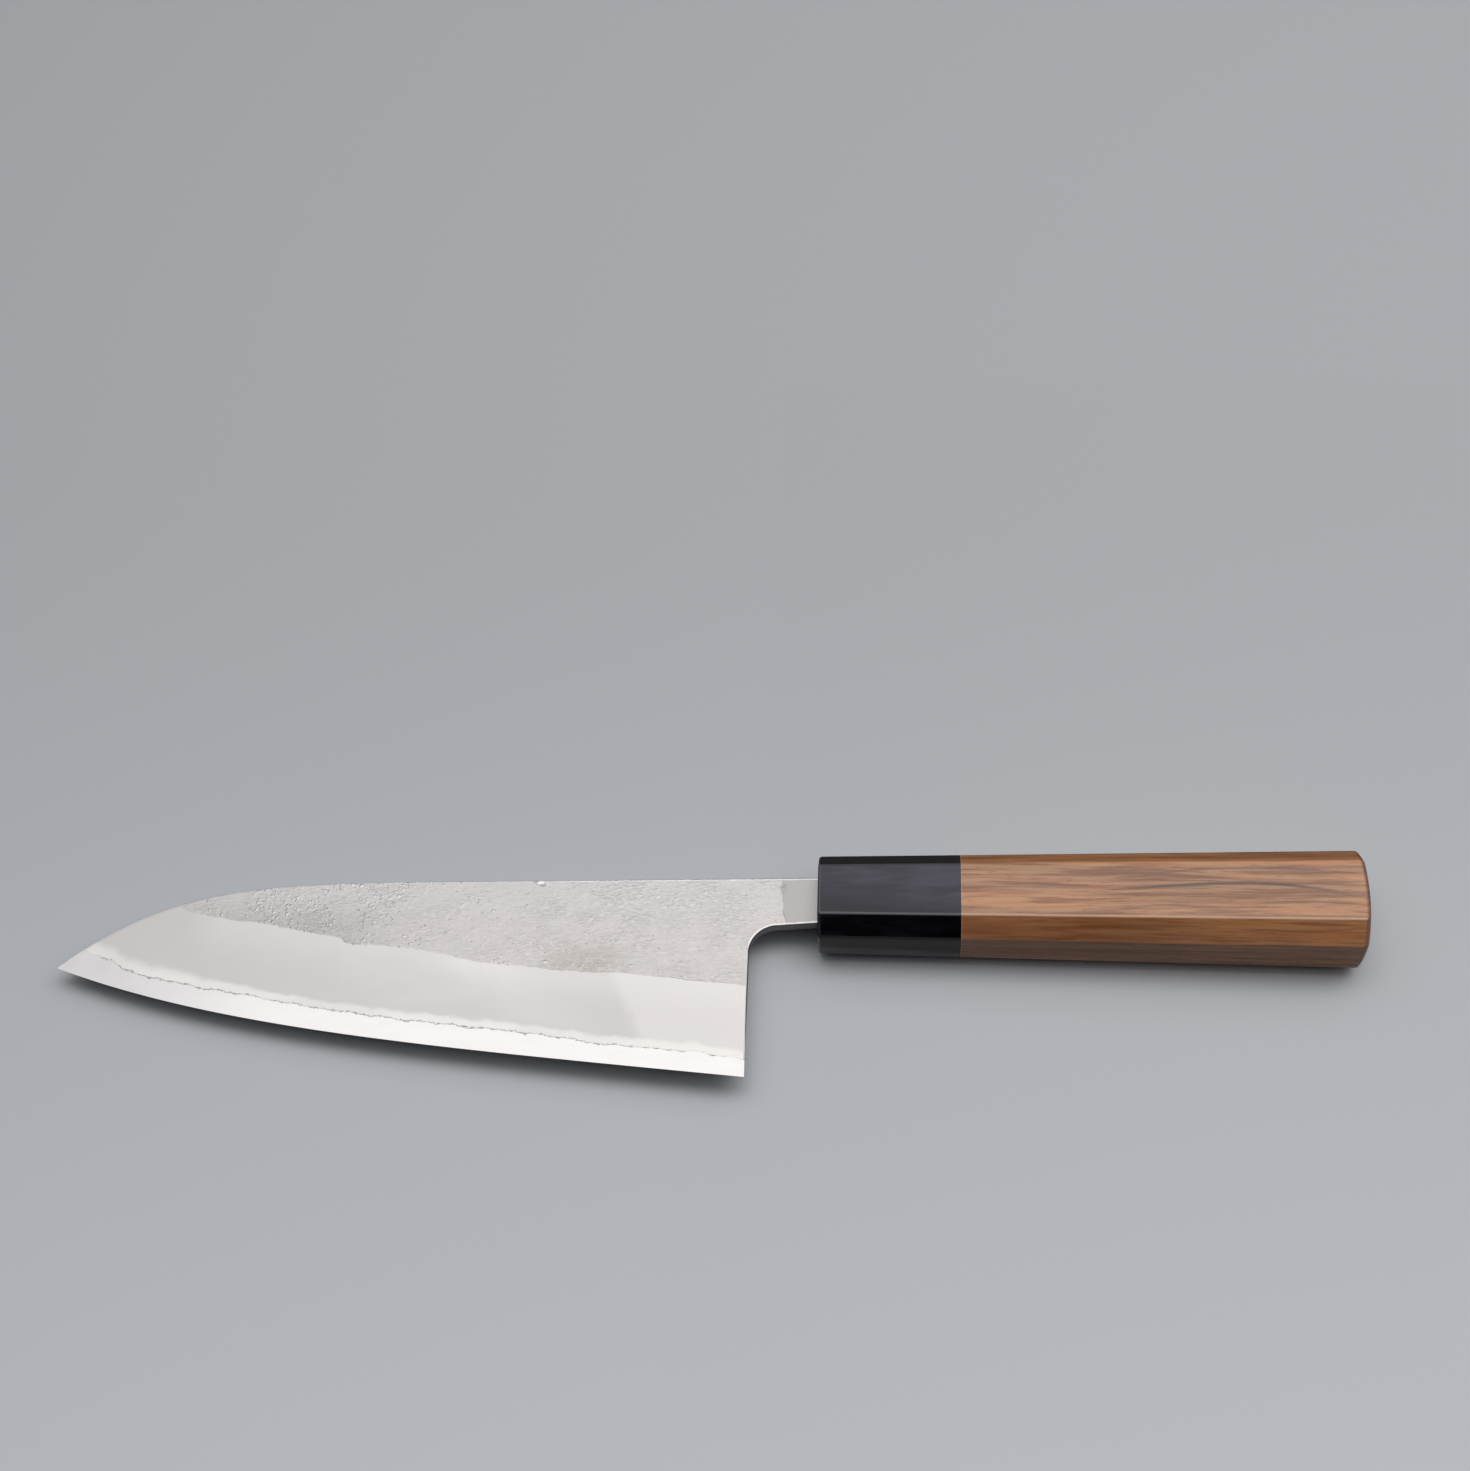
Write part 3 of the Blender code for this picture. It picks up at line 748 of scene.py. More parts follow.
# Painted shade for heel, choil and the neck's underside
NARROW_FACE_SHADE = (0.165, 0.157, 0.152)
BEVEL_DARK = (0.484, 0.460, 0.449)
BEVEL_LIGHT = (0.518, 0.493, 0.480)
BEVEL_NOSE = (0.484, 0.463, 0.454)
BEVEL_DULL = (0.475, 0.455, 0.445)
BEVEL_TOP = (0.630, 0.603, 0.588)
# A painted reflection on the bevel near the heel
BEVEL_HEEL_REFLECTION = (0.546, 0.520, 0.502)
HAZE = (0.627, 0.603, 0.575)
WELD_LINE = (0.17, 0.165, 0.16)
CORE_DARK = (0.620, 0.599, 0.586)
CORE_LIGHT = (0.656, 0.636, 0.622)
CORE_NOSE = (0.493, 0.477, 0.474)
WOOD_BROWN = (0.165, 0.060, 0.016)
WOOD_TAN = (0.378, 0.155, 0.058)
WOOD_MAUVE = (0.190, 0.079, 0.042)
WOOD_PALE = (0.432, 0.228, 0.106)
WOOD_DARK = (0.135, 0.038, 0.004)
WOOD_PORE = (0.100, 0.028, 0.003)
WOOD_RIM = (0.076, 0.020, 0.006)
# A painted highlight for the handle's eased edges
WOOD_EDGE_HIGHLIGHT = (0.56, 0.36, 0.25)
WOOD_LINE = (0.060, 0.026, 0.010)
JOINT = (0.30, 0.29, 0.27)
FERRULE_BLACK = (0.0008, 0.0008, 0.0012)
# A bluish haze that also paints the sheen of the ferrule's broad flats
FERRULE_HAZE_SHEEN = (0.034, 0.034, 0.045)
# A painted highlight for the ferrule's eased edges and front rim
FERRULE_EDGE_HIGHLIGHT = (0.095, 0.095, 0.10)
DOWEL_DARK = (0.52, 0.37, 0.21)
DOWEL_LIGHT = (0.66, 0.50, 0.31)
RESIN_DARK = (0.48, 0.38, 0.20)
RESIN_LIGHT = (0.60, 0.50, 0.30)

# Places in mm; most are pairs along one axis, from where a look starts to where it is full
CALM_X = -84
CALM_REACH = (8, 30)
RIPPLES_FADE_X = (-112, -140)
SHADE_X = (-92, -128)
DEEP_SHADE_X = (-134, -148)
SHADE_Y = (3, -9)
COOL_Y = (-7, 3)
STAIN_X = -57
STAIN_REACH = (13, 3)
STAIN_Y = (-9.5, -15.5)
SMUDGE_Y = (0, 4)
BURR_STRETCH = 1.8
BEVEL_NOSE_X = (-80, -150)
# A slanted line on the bevel, duller before it, with the painted reflection past it towards the heel
HEEL_REFLECTION_X = -57
HEEL_REFLECTION_LEAN = 0.43
GLOW_X = -81
GLOW_REACH = (14, 3)
GLOW_START_X = (-158, -145)
HAZE_RISE_X = (-135, -160)
WELD_DARK_X = (-20, -60)
WELD_TIP_X = (-177, -173)
CORE_NOSE_X = (-125, -178)
# Painted shade on the walnut: on the near side, stronger towards the ferrule, and on the far side
NEAR_SHADE_X = (55, 105)
NEAR_SHADE_Y = (-6, -8)
FAR_SHADE_Y = (6.2, 6.7)
LINES_START_X = (64, 82)
LINES_END_X = (128, 108)
UPPER_FLAT_Z = (7.5, 8.5)
JOINT_X = (34.4, 34.2)
STRONG_LINE_TOP = (101.5, 1.5)
FAINT_LINE_TOP = (103, 5.4)
PITH = (0, -46, -22)
RING_WIDTH = 3.4

# Heights of the finest relief in mm
CRUMB_HEIGHT = 0.095
RIPPLE_BUMP = 0.17
GRIT_HEIGHT = 0.012
BEVEL_SCRATCHES = 0.0027
CORE_SCRATCHES = 0.0015
WOOD_GROOVES = 0.016
FERRULE_CLOUDS = 0.06
FERRULE_STREAKS = 0.006

# A size so long that its axis doesn't count
ENDLESS = 10000


class Nodes:
    """The nodes of a material or world; each call adds some and gives the last one's output."""

    def __init__(self, owner):
        owner.use_nodes = True
        self.tree = owner.node_tree

    def node(self, kind, inputs=(), output=0, **settings):
        made = self.tree.nodes.new("ShaderNode" + kind)
        for name, value in settings.items():
            setattr(made, name, value)
        for socket, value in dict(inputs).items():
            self.feed(made.inputs[socket], value)
        return made.outputs[output]

    def feed(self, socket, value):
        if isinstance(value, bpy.types.NodeSocket):
            self.tree.links.new(value, socket)
        else:
            socket.default_value = (*value, 1.0) if socket.type == "RGBA" else value

    def maths(self, operation, a, b=0.0):
        return self.node("Math", {0: a, 1: b}, operation=operation)

    def times(self, value, *others):
        for other in others:
            value = self.maths("MULTIPLY", value, other)
        return value

    def plus(self, value, *others):
        for other in others:
            value = self.maths("ADD", value, other)
        return value

    def minus(self, a, b):
        return self.maths("SUBTRACT", a, b)

    def away(self, value, middle=0.0):
        """How far the value is from the middle."""
        return self.maths("ABSOLUTE", self.minus(value, middle))

    def ramp(self, value, low, high, from_=0.0, to=1.0):
        """The value smoothly mapped from low..high to from_..to, and held beyond."""
        inputs = {"Value": value, "From Min": low, "From Max": high, "To Min": from_, "To Max": to}
        return self.node("MapRange", inputs, interpolation_type="SMOOTHSTEP")

    def between(self, share, a, b):
        """A number between a and b."""
        return self.node("Mix", {0: share, 2: a, 3: b}, data_type="FLOAT")

    def blend(self, share, a, b):
        """A colour between a and b."""
        return self.node("Mix", {0: share, 6: a, 7: b}, output=2, data_type="RGBA")

    def coated(self, colour, *coats):
        """The colour under coats, each a paint and its share."""
        for paint, share in coats:
            colour = self.blend(share, colour, paint)
        return colour


class Surface(Nodes):
    """A material, with textures and coordinates in the object's own frame."""

    def __init__(self, name):
        self.material = bpy.data.materials.new(name)
        super().__init__(self.material)
        self.shader = self.tree.nodes["Principled BSDF"]
        self.place = self.node("TexCoord", output="Object")

    def set(self, **values):
        for name, value in values.items():
            self.feed(self.shader.inputs[name.replace("_", " ")], value)

    def attribute(self, name):
        return self.node("Attribute", output="Fac", attribute_name=name)

    def part(self, vector, name):
        return self.node("SeparateXYZ", {0: vector}, output=name)

    def axis(self, name):
        """The object's coordinate along X, Y or Z in mm."""
        return self.times(self.part(self.place, name), 1 / MM)

    def normal(self, name):
        """The normal's part along X, Y or Z."""
        return self.part(self.node("TexCoord", output="Normal"), name)

    def broad_edge_highlight(self):
        """How much painted highlight lies on the edges beside the handle's two broad flats: least towards
        +Y.
        """
        turned = self.away(self.normal("Z"))
        edge = self.times(self.ramp(turned, 0.74, 0.84), self.ramp(turned, 0.998, 0.97))
        return self.times(edge, self.ramp(self.normal("Y"), 0.2, -0.2, 0.25, 1.0))

    def wobble(self, scale, amount, shift=0.0):
        """Noise from about -amount to amount."""
        return self.times(self.minus(self.noise(scale, 3.0, shift=shift), 0.5), 3 * amount)

    def stretched(self, scale):
        """The object's coordinates in mm, divided by a size along each axis."""
        per_metre = [1 / (MM * size) for size in scale]
        return self.node("VectorMath", {0: self.place, 1: per_metre}, operation="MULTIPLY")

    def shifted(self, vector, by):
        return self.node("VectorMath", {0: vector, 1: by}, operation="ADD")

    def distance(self, centre, scale):
        """Distance from a centre in mm, divided by a size along each axis."""
        ends = {0: self.stretched(scale), 1: [place / size for place, size in zip(centre, scale)]}
        return self.node("VectorMath", ends, output="Value", operation="DISTANCE")

    def noise(self, scale, detail=2.0, roughness=0.5, shift=0.0):
        """Noise from 0 to 1 whose features are about scale mm along x, y and z."""
        vector = self.shifted(self.stretched(scale), (shift,) * 3)
        settings = {"Vector": vector, "Scale": 1.0, "Detail": detail, "Roughness": roughness}
        return self.node("TexNoise", settings)

    def grains(self, size, share, shift=0.0):
        """Rounded grains of about that size in mm; the share of all that show is from 0 to 1."""
        noise_inputs = {"Vector": self.stretched((0.7 * size,) * 3), "Scale": 1.0}
        strayed = self.node("TexNoise", noise_inputs, output="Color")
        vector = self.shifted(self.shifted(self.stretched((size,) * 3), strayed), (shift,) * 3)
        cells = {"Vector": vector, "Scale": 1.0}
        from_middle = self.node("TexVoronoi", cells, output="Distance")
        from_border = self.node("TexVoronoi", cells, output="Distance", feature="DISTANCE_TO_EDGE")
        chance = self.part(self.node("TexVoronoi", cells, output="Color"), "X")
        chosen = self.ramp(self.minus(chance, self.minus(1.0, share)), 0.0, 0.25)
        rounded = self.times(self.ramp(from_middle, 0.55, 0.05), self.ramp(from_border, 0.0, 0.16))
        return self.times(rounded, chosen)

    def bump(self, height, depth=1.0):
        """A bump of this depth in mm."""
        return self.node("Bump", {"Height": height, "Distance": depth * MM, "Strength": 1.0})


def liveliness(s, x):
    """How strongly the skin's ripples show: in patches, less round the middle and at the nose."""
    patches = s.ramp(s.noise((9, 6, 7), shift=12), 0.38, 0.62, 0.45, 1)
    off_middle = s.ramp(s.away(x, CALM_X), *CALM_REACH, 0.6, 1)
    return s.times(patches, off_middle, s.ramp(x, *RIPPLES_FADE_X, 1, 0.6))


def painted_burr_light(s, place, most):
    """A spot of painted light on the burr that stands on the spine of the side that lies up: a highlight on
    its top, shade at its foot.
    """
    off = s.distance((place[0] / MM, place[1] / MM, 0), (BURR_STRETCH, 1, ENDLESS))
    return s.times(s.ramp(off, 0.6, 0.4), s.ramp(s.axis("Z"), 0, 0.3, 0, most))


def forged_skin(s, x, y, crumbs, ripples, lively):
    """Warm grey, darker towards the bevel near the nose, with a stain, pale crumbs and dark pits; crumbs
    and ripple crests are paler partly as painted highlight, ripple hollows and the burr's foot get painted
    shade, the burr's top a painted highlight.
    """
    mottle = s.ramp(s.noise((9, 6, 8), detail=3, shift=3), 0.3, 0.7)
    shade = s.times(s.ramp(y, *SHADE_Y), s.ramp(x, *SHADE_X), s.ramp(x, *DEEP_SHADE_X, 0.9, 1))
    across = s.ramp(s.away(s.plus(x, s.wobble((8, 8, 8), 3)), STAIN_X), *STAIN_REACH, 0, 0.8)
    down = s.ramp(s.plus(y, s.wobble((5, 3, 4), 1.5)), *STAIN_Y)
    pits = s.ramp(s.noise((0.9, 0.55, 0.7), detail=1, shift=21), 0.3, 0.22, 0, 0.5)
    return s.coated(
        s.blend(mottle, SKIN_DARK, SKIN_LIGHT),
        (SKIN_LOW, shade),
        (SKIN_STAIN, s.times(across, down)),
        (SKIN_COOL, s.ramp(y, *COOL_Y, 0, 0.55)),
        # Pale crumbs and ripple crests are partly painted highlight; dark ripple hollows are painted shade
        (SKIN_GRAIN_HIGHLIGHT, s.times(crumbs, 0.45)),
        (SKIN_GRAIN_HIGHLIGHT, s.times(s.ramp(ripples, 0.53, 0.62, 0, 0.2), lively)),
        (SKIN_PIT_AND_SHADE, s.times(s.ramp(ripples, 0.44, 0.36, 0, 0.14), lively)),
        (SKIN_PIT_AND_SHADE, pits),
        # Painted shade at the burr's foot and a painted highlight on its top
        (SKIN_PIT_AND_SHADE, painted_burr_light(s, BURR_PAINTED_SHADE, 0.5)),
        (SKIN_GRAIN_HIGHLIGHT, painted_burr_light(s, BURR, 0.65)),
    )


def neck_smudge(s, y, neck):
    """Dark smudges where the skin ends at the neck, near the spine."""
    speckles = s.ramp(s.noise((1.3, 1, 1), shift=17), 0.48, 0.62)
    return s.times(speckles, s.ramp(y, *SMUDGE_Y), s.ramp(s.away(neck, 0.3), 1.3, 0.2, 0, 0.4))


def ground_bevel(s, x, y, skin, weld, haze):
    """Hazy satin, paler under the skin and just above the weld line, with a painted reflection near the
    heel: duller up to a slanted line, paler past it.
    """
    cloud = s.ramp(s.noise((26, 9, 20), shift=2), 0.3, 0.7)
    past_reflection_edge = s.plus(s.minus(x, HEEL_REFLECTION_X), s.times(y, HEEL_REFLECTION_LEAN), s.wobble((6, 6, 6), 1.4))
    glow = s.times(s.ramp(s.away(x, GLOW_X), *GLOW_REACH, 0.4, 0.72), s.ramp(x, *GLOW_START_X))
    below_skin = s.ramp(s.plus(skin, s.wobble((5, 1.5, 4), 0.7)), -7.5, 0.2)
    return s.coated(
        s.blend(cloud, BEVEL_DARK, BEVEL_LIGHT),
        (BEVEL_NOSE, s.ramp(x, *BEVEL_NOSE_X)),
        # A painted reflection near the heel: duller before a slanted line, paler past it
        (BEVEL_DULL, s.ramp(past_reflection_edge, -26, -3)),
        (BEVEL_HEEL_REFLECTION, s.ramp(past_reflection_edge, -2.2, 2)),
        (BEVEL_TOP, s.times(below_skin, glow)),
        (HAZE, s.times(haze, s.ramp(cloud, 0, 1, 0.55, 0.85))),
        (WELD_LINE, weld_line(s, weld, x)),
    )


def weld_haze(s, weld, x):
    """The haze along the weld line, wider at the nose."""
    top = s.plus(weld, s.wobble((4.5, 2, 3), 0.55, 5), s.wobble((1.2, 0.7, 1), 0.16))
    return s.ramp(top, s.ramp(x, *HAZE_RISE_X, 2.6, 4.4), 1.3)


def weld_line(s, weld, x):
    """How much of the dark, ragged line between core and cladding shows here."""
    off = s.away(s.plus(weld, s.wobble((0.8, 0.5, 0.6), 0.55, 31)))
    broken = s.ramp(s.noise((3, 3, 3), shift=33), 0.36, 0.52, 0.45, 1)
    dark = s.times(s.ramp(x, *WELD_DARK_X, 0.15, 0.8), s.ramp(x, *WELD_TIP_X, 0.1, 1))
    return s.times(s.ramp(off, 0.18, 0.06), dark, broken)


def shaded_narrow_faces(s):
    """Where heel, choil and the neck's underside lie, which get painted shade."""
    return s.ramp(s.minus(s.normal("X"), s.normal("Y")), 0.55, 0.9)


def cladding_steel():
    s = Surface("cladding_steel")
    x, y = s.axis("X"), s.axis("Y")
    skin, weld, neck, crust, worn_highlight = (s.attribute(name) for name in BLADE_MARKS)
    forged = s.ramp(s.plus(skin, s.wobble((1.1, 0.7, 0.9), 0.16)), -0.1, 0.1)
    on_neck = s.ramp(s.plus(neck, s.wobble((0.5, 0.7, 0.5), 0.12)), -0.1, 0.1)
    large_crumbs = s.grains(1.1, s.times(crust, 0.55))
    crumbs = s.maths("MAXIMUM", large_crumbs, s.grains(0.85, s.times(crust, 0.66), 40))
    ripples = s.noise((1.2, 0.62, 0.8), detail=3, roughness=0.66, shift=8)
    lively = liveliness(s, x)
    haze = weld_haze(s, weld, x)
    rubbed_highlight = s.ramp(worn_highlight, 0.2, 0.8)

    skin_colour = s.coated(
        forged_skin(s, x, y, crumbs, ripples, lively), (NECK, on_neck), (SKIN_PIT_AND_SHADE, neck_smudge(s, y, neck))
    )
    colour = s.coated(
        s.blend(forged, ground_bevel(s, x, y, skin, weld, haze), skin_colour),
        # Paler rounding of spine, choil and neck: wear with a painted highlight
        (WORN_HIGHLIGHT, s.times(rubbed_highlight, 0.6)),
        # Painted shade on heel, choil and the neck's underside
        (NARROW_FACE_SHADE, shaded_narrow_faces(s)),
    )
    s.set(Base_Color=colour, Metallic=1)

    rough_skin = s.between(on_neck, s.between(crumbs, 0.42, 0.34), 0.4)
    roughness = s.between(forged, s.between(haze, 0.42, 0.36), rough_skin)
    s.set(Roughness=s.between(rubbed_highlight, roughness, 0.24))

    grit = s.noise((0.85, 0.66, 0.8), roughness=0.62, shift=4)
    height = s.plus(s.times(crumbs, CRUMB_HEIGHT), s.times(ripples, lively, RIPPLE_BUMP))
    height = s.times(s.plus(height, s.times(grit, GRIT_HEIGHT)), s.between(on_neck, 1, 0.1))
    scratches = s.times(s.noise((1.5, 0.06, 0.9), detail=1, shift=6), BEVEL_SCRATCHES)
    s.set(Normal=s.bump(s.between(forged, scratches, height)))
    return s.material


def core_steel():
    s = Surface("core_steel")
    x = s.axis("X")
    cloud = s.noise((14, 4, 8))
    colour = s.coated(
        s.blend(s.ramp(cloud, 0.3, 0.7), CORE_DARK, CORE_LIGHT),
        (CORE_NOSE, s.ramp(x, *CORE_NOSE_X)),
        (WELD_LINE, weld_line(s, s.attribute("weld"), x)),
        # Painted shade on heel, choil and the neck's underside
        (NARROW_FACE_SHADE, shaded_narrow_faces(s)),
    )
    scratches = s.noise((1.2, 0.05, 0.8), detail=1, shift=3)
    s.set(Base_Color=colour, Metallic=1, Roughness=s.ramp(cloud, 0.3, 0.7, 0.28, 0.34))
    s.set(Normal=s.bump(scratches, CORE_SCRATCHES))
    return s.material


def black_ferrule():
    s = Surface("ferrule_black")
    x, y, z = (s.axis(name) for name in "XYZ")
    streaks = s.noise((14, 0.8, 0.8), detail=4, roughness=0.62)
    clouds = s.noise((13, 2.6, 2.6), detail=3, shift=4)
    # A thin bluish haze on the two broad flats, in soft streaks, thinner towards the front's -Y corner; it
    # is mostly a painted sheen, standing in for the light the flats reflect
    half = FRONT_THICKNESS / 2 / MM
    on_flat = s.ramp(s.minus(s.away(z), s.times(x, FLAT_RISE)), half - 0.25, half - 0.05)
    haze = s.plus(s.ramp(clouds, 0.36, 0.64, 0.35, 0.85), s.ramp(streaks, 0.42, 0.62, 0, 0.15))
    from_corner = s.plus(y, s.times(x, 0.12), s.wobble((12, 2, 2), 0.8))
    haze = s.times(haze, s.ramp(from_corner, -4.5, 3), on_flat)
    colour = s.blend(haze, FERRULE_BLACK, FERRULE_HAZE_SHEEN)
    # Painted highlights along the eased edges and round the front rim
    front_rim_highlight = s.times(s.ramp(s.away(s.normal("X")), 0.1, 0.3), s.ramp(s.away(s.normal("Z")), 0.72, 0.85))
    edges = s.maths("MAXIMUM", s.broad_edge_highlight(), front_rim_highlight)
    s.set(Base_Color=s.blend(s.times(edges, 0.8), colour, FERRULE_EDGE_HIGHLIGHT))
    s.set(Roughness=s.plus(s.ramp(streaks, 0.4, 0.66, 0, 0.03), s.ramp(clouds, 0.35, 0.65, 0.1, 0.18)))
    s.set(IOR=1.48, Specular_Tint=(0.94, 0.89, 1))
    s.set(Normal=s.bump(s.plus(s.times(clouds, FERRULE_CLOUDS), s.times(streaks, FERRULE_STREAKS))))
    return s.material


def grain_arc(s, x, y, top, bend, droop, width):
    """A dark grain line bowed towards the spine, highest at top; it droops more towards the butt."""
    past = s.minus(x, top[0])
    late = s.maths("MAXIMUM", past, 0)
    fall = s.plus(s.times(past, past, bend), s.times(late, late, droop))
    off = s.away(s.plus(s.minus(y, top[1]), fall, s.wobble((12, 4, 4), 0.22)))
    line = s.ramp(off, width, 0.2 * width)
    return s.times(line, s.ramp(x, *LINES_START_X), s.ramp(x, *LINES_END_X, 0.2, 1))


def end_grain(s, along):
    """Coats for the butt: growth rings round a point outside the handle, and small round pores."""
    on_butt = s.ramp(along, 0.8, 0.95)
    from_pith = s.plus(s.distance(PITH, (ENDLESS, 1, 1)), s.wobble((9, 5, 5), 0.5, 5))
    through_ring = s.maths("FRACT", s.maths("DIVIDE", from_pith, RING_WIDTH))
    late_wood = s.times(s.ramp(through_ring, 0.35, 0.92), s.ramp(through_ring, 1, 0.94))
    dots = s.ramp(s.noise((2, 0.34, 0.34), detail=1, shift=19), 0.62, 0.7)
    return (WOOD_DARK, s.times(late_wood, 0.62, on_butt)), (WOOD_PORE, s.times(dots, 0.7, on_butt))


def walnut():
    s = Surface("handle_wood")
    x, y, z = (s.axis(name) for name in "XYZ")
    # The grain bends a little as it runs along the handle
    strayed = s.node("CombineXYZ", {"Y": s.times(s.wobble((30, 9, 9), 0.75), MM)})
    s.place = s.shifted(s.place, strayed)
    bands = s.noise((55, 3.2, 3.2), detail=4, roughness=0.55)
    streaks = s.noise((24, 1.00, 1.00), detail=3, shift=7)
    pores = s.noise((3.6, 0.26, 0.26), roughness=0.55, shift=11)
    threads = s.noise((22, 0.95, 0.95), shift=13)
    # Two long dark grain lines on the flat that lies up, and painted shade along the near and the far side
    up = s.ramp(z, *UPPER_FLAT_Z)
    strong = s.times(grain_arc(s, x, y, STRONG_LINE_TOP, 0.0017, 0.0038, 0.62), up)
    faint = s.times(grain_arc(s, x, y, FAINT_LINE_TOP, 0.0024, 0.0003, 0.5), up, 0.45)
    near_shade = s.times(s.ramp(y, *NEAR_SHADE_Y), s.ramp(x, *NEAR_SHADE_X, 0.6, 0.3))
    past_flat = s.minus(y, s.times(x, FLAT_SPREAD))
    # The rim round the butt is darker, and a thin pale line of glue shows at the ferrule
    along = s.away(s.normal("X"))
    rim = s.times(s.ramp(along, 0.04, 0.14), s.ramp(along, 0.97, 0.8), 0.65)
    # A painted highlight along the eased edges beside the broad flats, not on the butt's rim
    rubbed_highlight = s.times(s.broad_edge_highlight(), s.ramp(along, 0.3, 0.1, 0, 0.55))
    colour = s.coated(
        s.blend(s.ramp(bands, 0.42, 0.58), WOOD_BROWN, WOOD_TAN),
        (WOOD_MAUVE, s.ramp(s.noise((50, 4.5, 4.5), shift=15), 0.52, 0.66, 0, 0.5)),
        (WOOD_PALE, s.ramp(threads, 0.4, 0.6, 0, 0.46)),
        (WOOD_DARK, s.ramp(streaks, 0.52, 0.66, 0, 0.68)),
        (WOOD_PORE, s.ramp(pores, 0.6, 0.71, 0, 0.5)),
        (WOOD_LINE, strong),
        (WOOD_LINE, faint),
        # Painted shade on the near side and on the far side
        (WOOD_DARK, near_shade),
        (WOOD_DARK, s.ramp(past_flat, *FAR_SHADE_Y, 0, 0.36)),
        *end_grain(s, along),
        (WOOD_RIM, rim),
        (JOINT, s.ramp(x, *JOINT_X, 0, 0.25)),
        (WOOD_EDGE_HIGHLIGHT, rubbed_highlight),
    )
    s.set(Base_Color=colour, Roughness=s.ramp(streaks, 0.38, 0.66, 0.26, 0.4))
    s.set(IOR=1.6, Specular_IOR_Level=0.68)
    grooves = s.minus(s.times(threads, 0.4), s.ramp(pores, 0.58, 0.74))
    s.set(Normal=s.bump(s.minus(grooves, s.ramp(streaks, 0.5, 0.68)), WOOD_GROOVES))
    return s.material


def pale_dowel():
    s = Surface("dowel_wood")
    grain = s.noise((40, 1.2, 1.2), detail=3)
    s.set(Base_Color=s.blend(s.ramp(grain, 0.3, 0.7), DOWEL_DARK, DOWEL_LIGHT))
    s.set(Roughness=s.ramp(grain, 0.3, 0.7, 0.62, 0.75), Normal=s.bump(grain, 0.02))
    return s.material


def resin():
    s = Surface("adhesive")
    cloud = s.noise((6, 3, 3))
    s.set(Base_Color=s.blend(s.ramp(cloud, 0.3, 0.7), RESIN_DARK, RESIN_LIGHT))
    s.set(Roughness=s.ramp(cloud, 0.3, 0.7, 0.3, 0.42), Normal=s.bump(cloud, 0.01))
    return s.material


# Studio

FLOOR_COLOUR_BACK = (0.366, 0.378, 0.396)
FLOOR_COLOUR_FRONT = (0.520, 0.535, 0.570)
FLOOR_SHADING_Y = (0.15, -0.30)
FLOOR_WIDTH = 8.0
FLOOR_DROP = 0.00005
FADE = (0.5, 1.3)
BACKDROP = (0.42, 0.43, 0.45)
DIM_ROOM = (0.018,) * 3
LIT_PLACE = Vector((-0.11, 0.0, 0.0))
BOX_TOWARDS_SPINE = math.radians(8.5)
BOX_TOWARDS_BUTT = math.radians(11)
BOX_DISTANCE = 1.2

# Soft lights: name, spread in degrees along x and y, radiance, whether glossy surfaces show it
SOFTBOXES = (
    ("softbox", (54, 35), 1.06, True),
    ("softbox_centre", (24, 8), 2.2, True),
    ("softbox_fill", (30, 14), 3.8, False),
)

# Dark cards: name, shade, width, height, centre, the way it faces
CARDS = (
    ("front_card", 0.01, 0.8, 0.32, (0.1, -0.9, 0.44), (-0.1, 0.9, -0.44)),
    ("near_card", 0.20, 0.19, 0.11, (-0.02, -0.069, 0.0005), (0.0, 0.0, 1.0)),
    ("back_card", 0.07, 0.27, 0.15, (0.04, 0.092, 0.0005), (0.0, 0.0, 1.0)),
)

LENS = 52.37
CAMERA_PLACE = Vector((-0.06815, -0.2186, 0.4813))
CAMERA_TURN = math.radians(7.75)
CAMERA_TILT = math.radians(29.58)
CAMERA_ROLL = math.radians(-6.26)


def seen(s):
    """Whether the ray is one that shows the backdrop: seen directly, mirrored or through something."""
    direct, mirrored, through = (
        s.node("LightPath", output=ray) for ray in ("Is Camera Ray", "Is Glossy Ray", "Is Transmission Ray")
    )
    return s.maths("MAXIMUM", s.maths("MAXIMUM", direct, mirrored), through)


def flat_sheet(name, width, depth, material):
    bm = bmesh.new()
    bmesh.ops.create_grid(bm, x_segments=1, y_segments=1, size=0.5)
    bmesh.ops.scale(bm, verts=bm.verts, vec=(width, depth, 1.0))
    return new_object(name, bm, [material])


def floor():
    s = Surface("floor")
    colour = s.blend(s.ramp(s.part(s.place, "Y"), *FLOOR_SHADING_Y), FLOOR_COLOUR_BACK, FLOOR_COLOUR_FRONT)
    grain = s.noise((1.5, 1.5, 1.5))
    s.set(Base_Color=colour, Roughness=0.85, Specular_IOR_Level=0.1, Normal=s.bump(grain, 0.01))
    away = s.node("VectorMath", {0: s.place}, output="Value", operation="LENGTH")
    far = s.times(s.ramp(away, *FADE), seen(s))
    glow = s.node("Emission", {"Color": BACKDROP})
    surface = s.node("MixShader", {0: far, 1: s.shader.outputs[0], 2: glow})
    s.feed(s.tree.nodes["Material Output"].inputs["Surface"], surface)
    piece = flat_sheet("floor", FLOOR_WIDTH, FLOOR_WIDTH, s.material)
    piece.location.z = -FLOOR_DROP


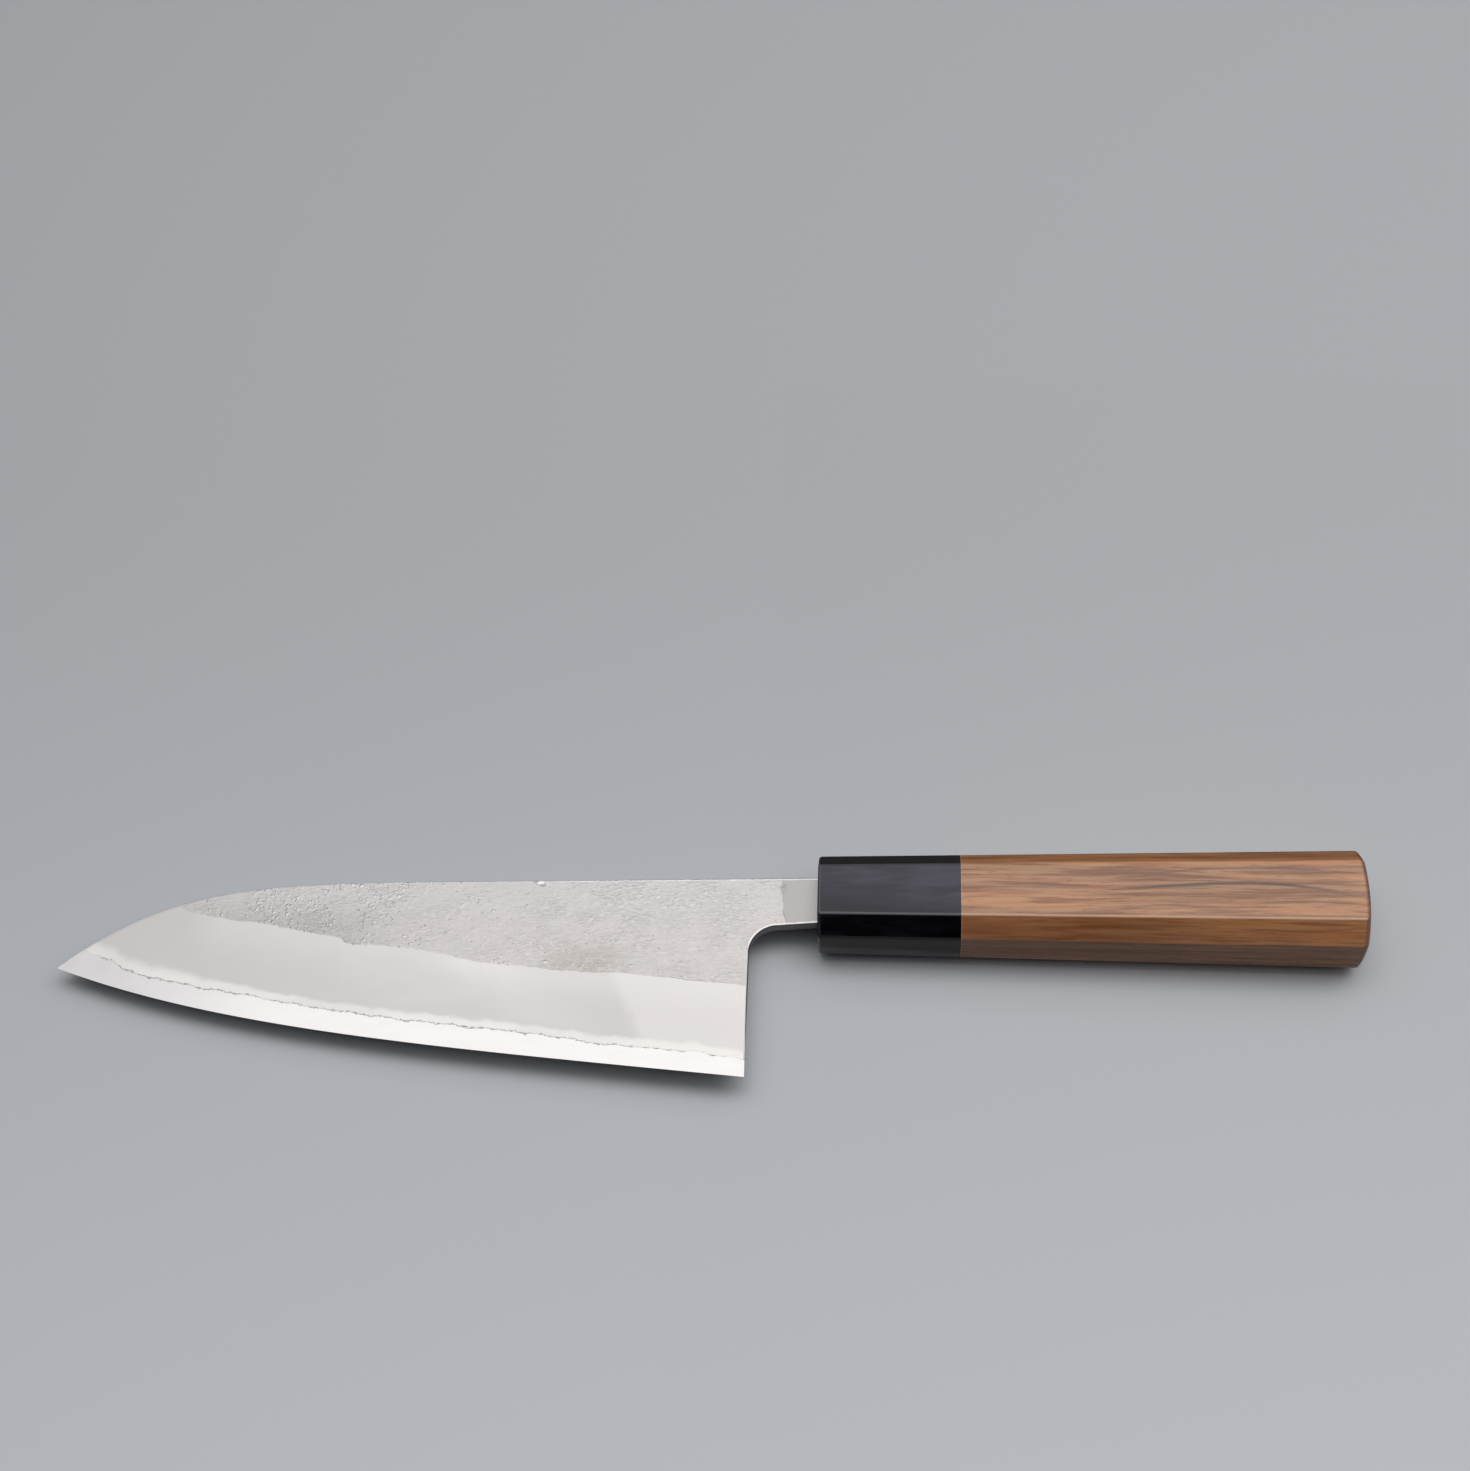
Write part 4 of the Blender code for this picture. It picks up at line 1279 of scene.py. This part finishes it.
def softbox(name, spread, radiance, shines):
    """A soft light over the knife, a little behind it and towards its butt."""
    half_x, half_y = (BOX_DISTANCE * math.tan(math.radians(angle)) for angle in spread)
    light = bpy.data.lights.new(name, "AREA")
    light.shape = "ELLIPSE"
    light.size = 2 * half_x
    light.size_y = 2 * half_y
    light.energy = radiance * math.pi**2 * half_x * half_y
    lamp = bpy.data.objects.new(name, light)
    towards = Vector((math.tan(BOX_TOWARDS_BUTT), math.tan(BOX_TOWARDS_SPINE), 1.0)).normalized()
    lamp.location = LIT_PLACE + towards * BOX_DISTANCE
    across = Vector((0.0, 1.0, 0.0)).cross(towards).normalized()
    lamp.rotation_euler = Matrix((across, towards.cross(across), towards)).transposed().to_euler()
    lamp.visible_camera = False
    lamp.visible_glossy = shines
    bpy.context.collection.objects.link(lamp)


def dark_card(name, shade, width, height, centre, facing):
    """A dark card that the camera doesn't see, so it shows only as a reflection."""
    s = Surface(name)
    s.set(Base_Color=(shade,) * 3, Roughness=1.0)
    card = flat_sheet(name, width, height, s.material)
    card.location = centre
    card.rotation_euler = Vector(facing).to_track_quat("Z", "Y").to_euler()
    for ray in ("camera", "diffuse", "transmission", "volume_scatter", "shadow"):
        setattr(card, "visible_" + ray, False)


def surroundings():
    """A dim room, which the camera and glossy surfaces see as a plain pale backdrop."""
    world = bpy.data.worlds.new("room")
    bpy.context.scene.world = world
    room = Nodes(world)
    room.feed(room.tree.nodes["Background"].inputs[0], room.blend(seen(room), DIM_ROOM, BACKDROP))


def camera():
    made = bpy.data.objects.new("camera", bpy.data.cameras.new("camera"))
    made.data.lens = LENS
    made.data.clip_start = 0.01
    made.location = CAMERA_PLACE
    turn = Matrix.Rotation(CAMERA_TURN, 3, "Z") @ Matrix.Rotation(CAMERA_TILT, 3, "X")
    made.rotation_euler = (turn @ Matrix.Rotation(CAMERA_ROLL, 3, "Z")).to_euler()
    bpy.context.collection.objects.link(made)
    bpy.context.scene.camera = made


def main():
    lying = knife_frame()
    clad = cladding_steel()
    made = (
        (core("blade_core_ground", core_steel()), "blade_core", "core_steel"),
        (cladding("blade_skin_left", 1, clad), "blade_cladding_left", "cladding_steel"),
        (cladding("blade_skin_right", -1, clad), "blade_cladding_right", "cladding_steel"),
        (ferrule(black_ferrule()), "ferrule", "ferrule_black"),
        (handle(walnut()), "handle_body", "handle_wood"),
    )
    for piece, node, slot in made:
        piece.matrix_world = lying
        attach(piece, "root")
        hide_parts(node)
    for node, material in (("handle_dowel", pale_dowel()), ("tang_adhesive", resin())):
        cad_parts[node].data.materials.clear()
        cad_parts[node].data.materials.append(material)
    floor()
    for box in SOFTBOXES:
        softbox(*box)
    for card in CARDS:
        dark_card(*card)
    surroundings()
    camera()
    bpy.context.scene.view_settings.view_transform = "Standard"


main()
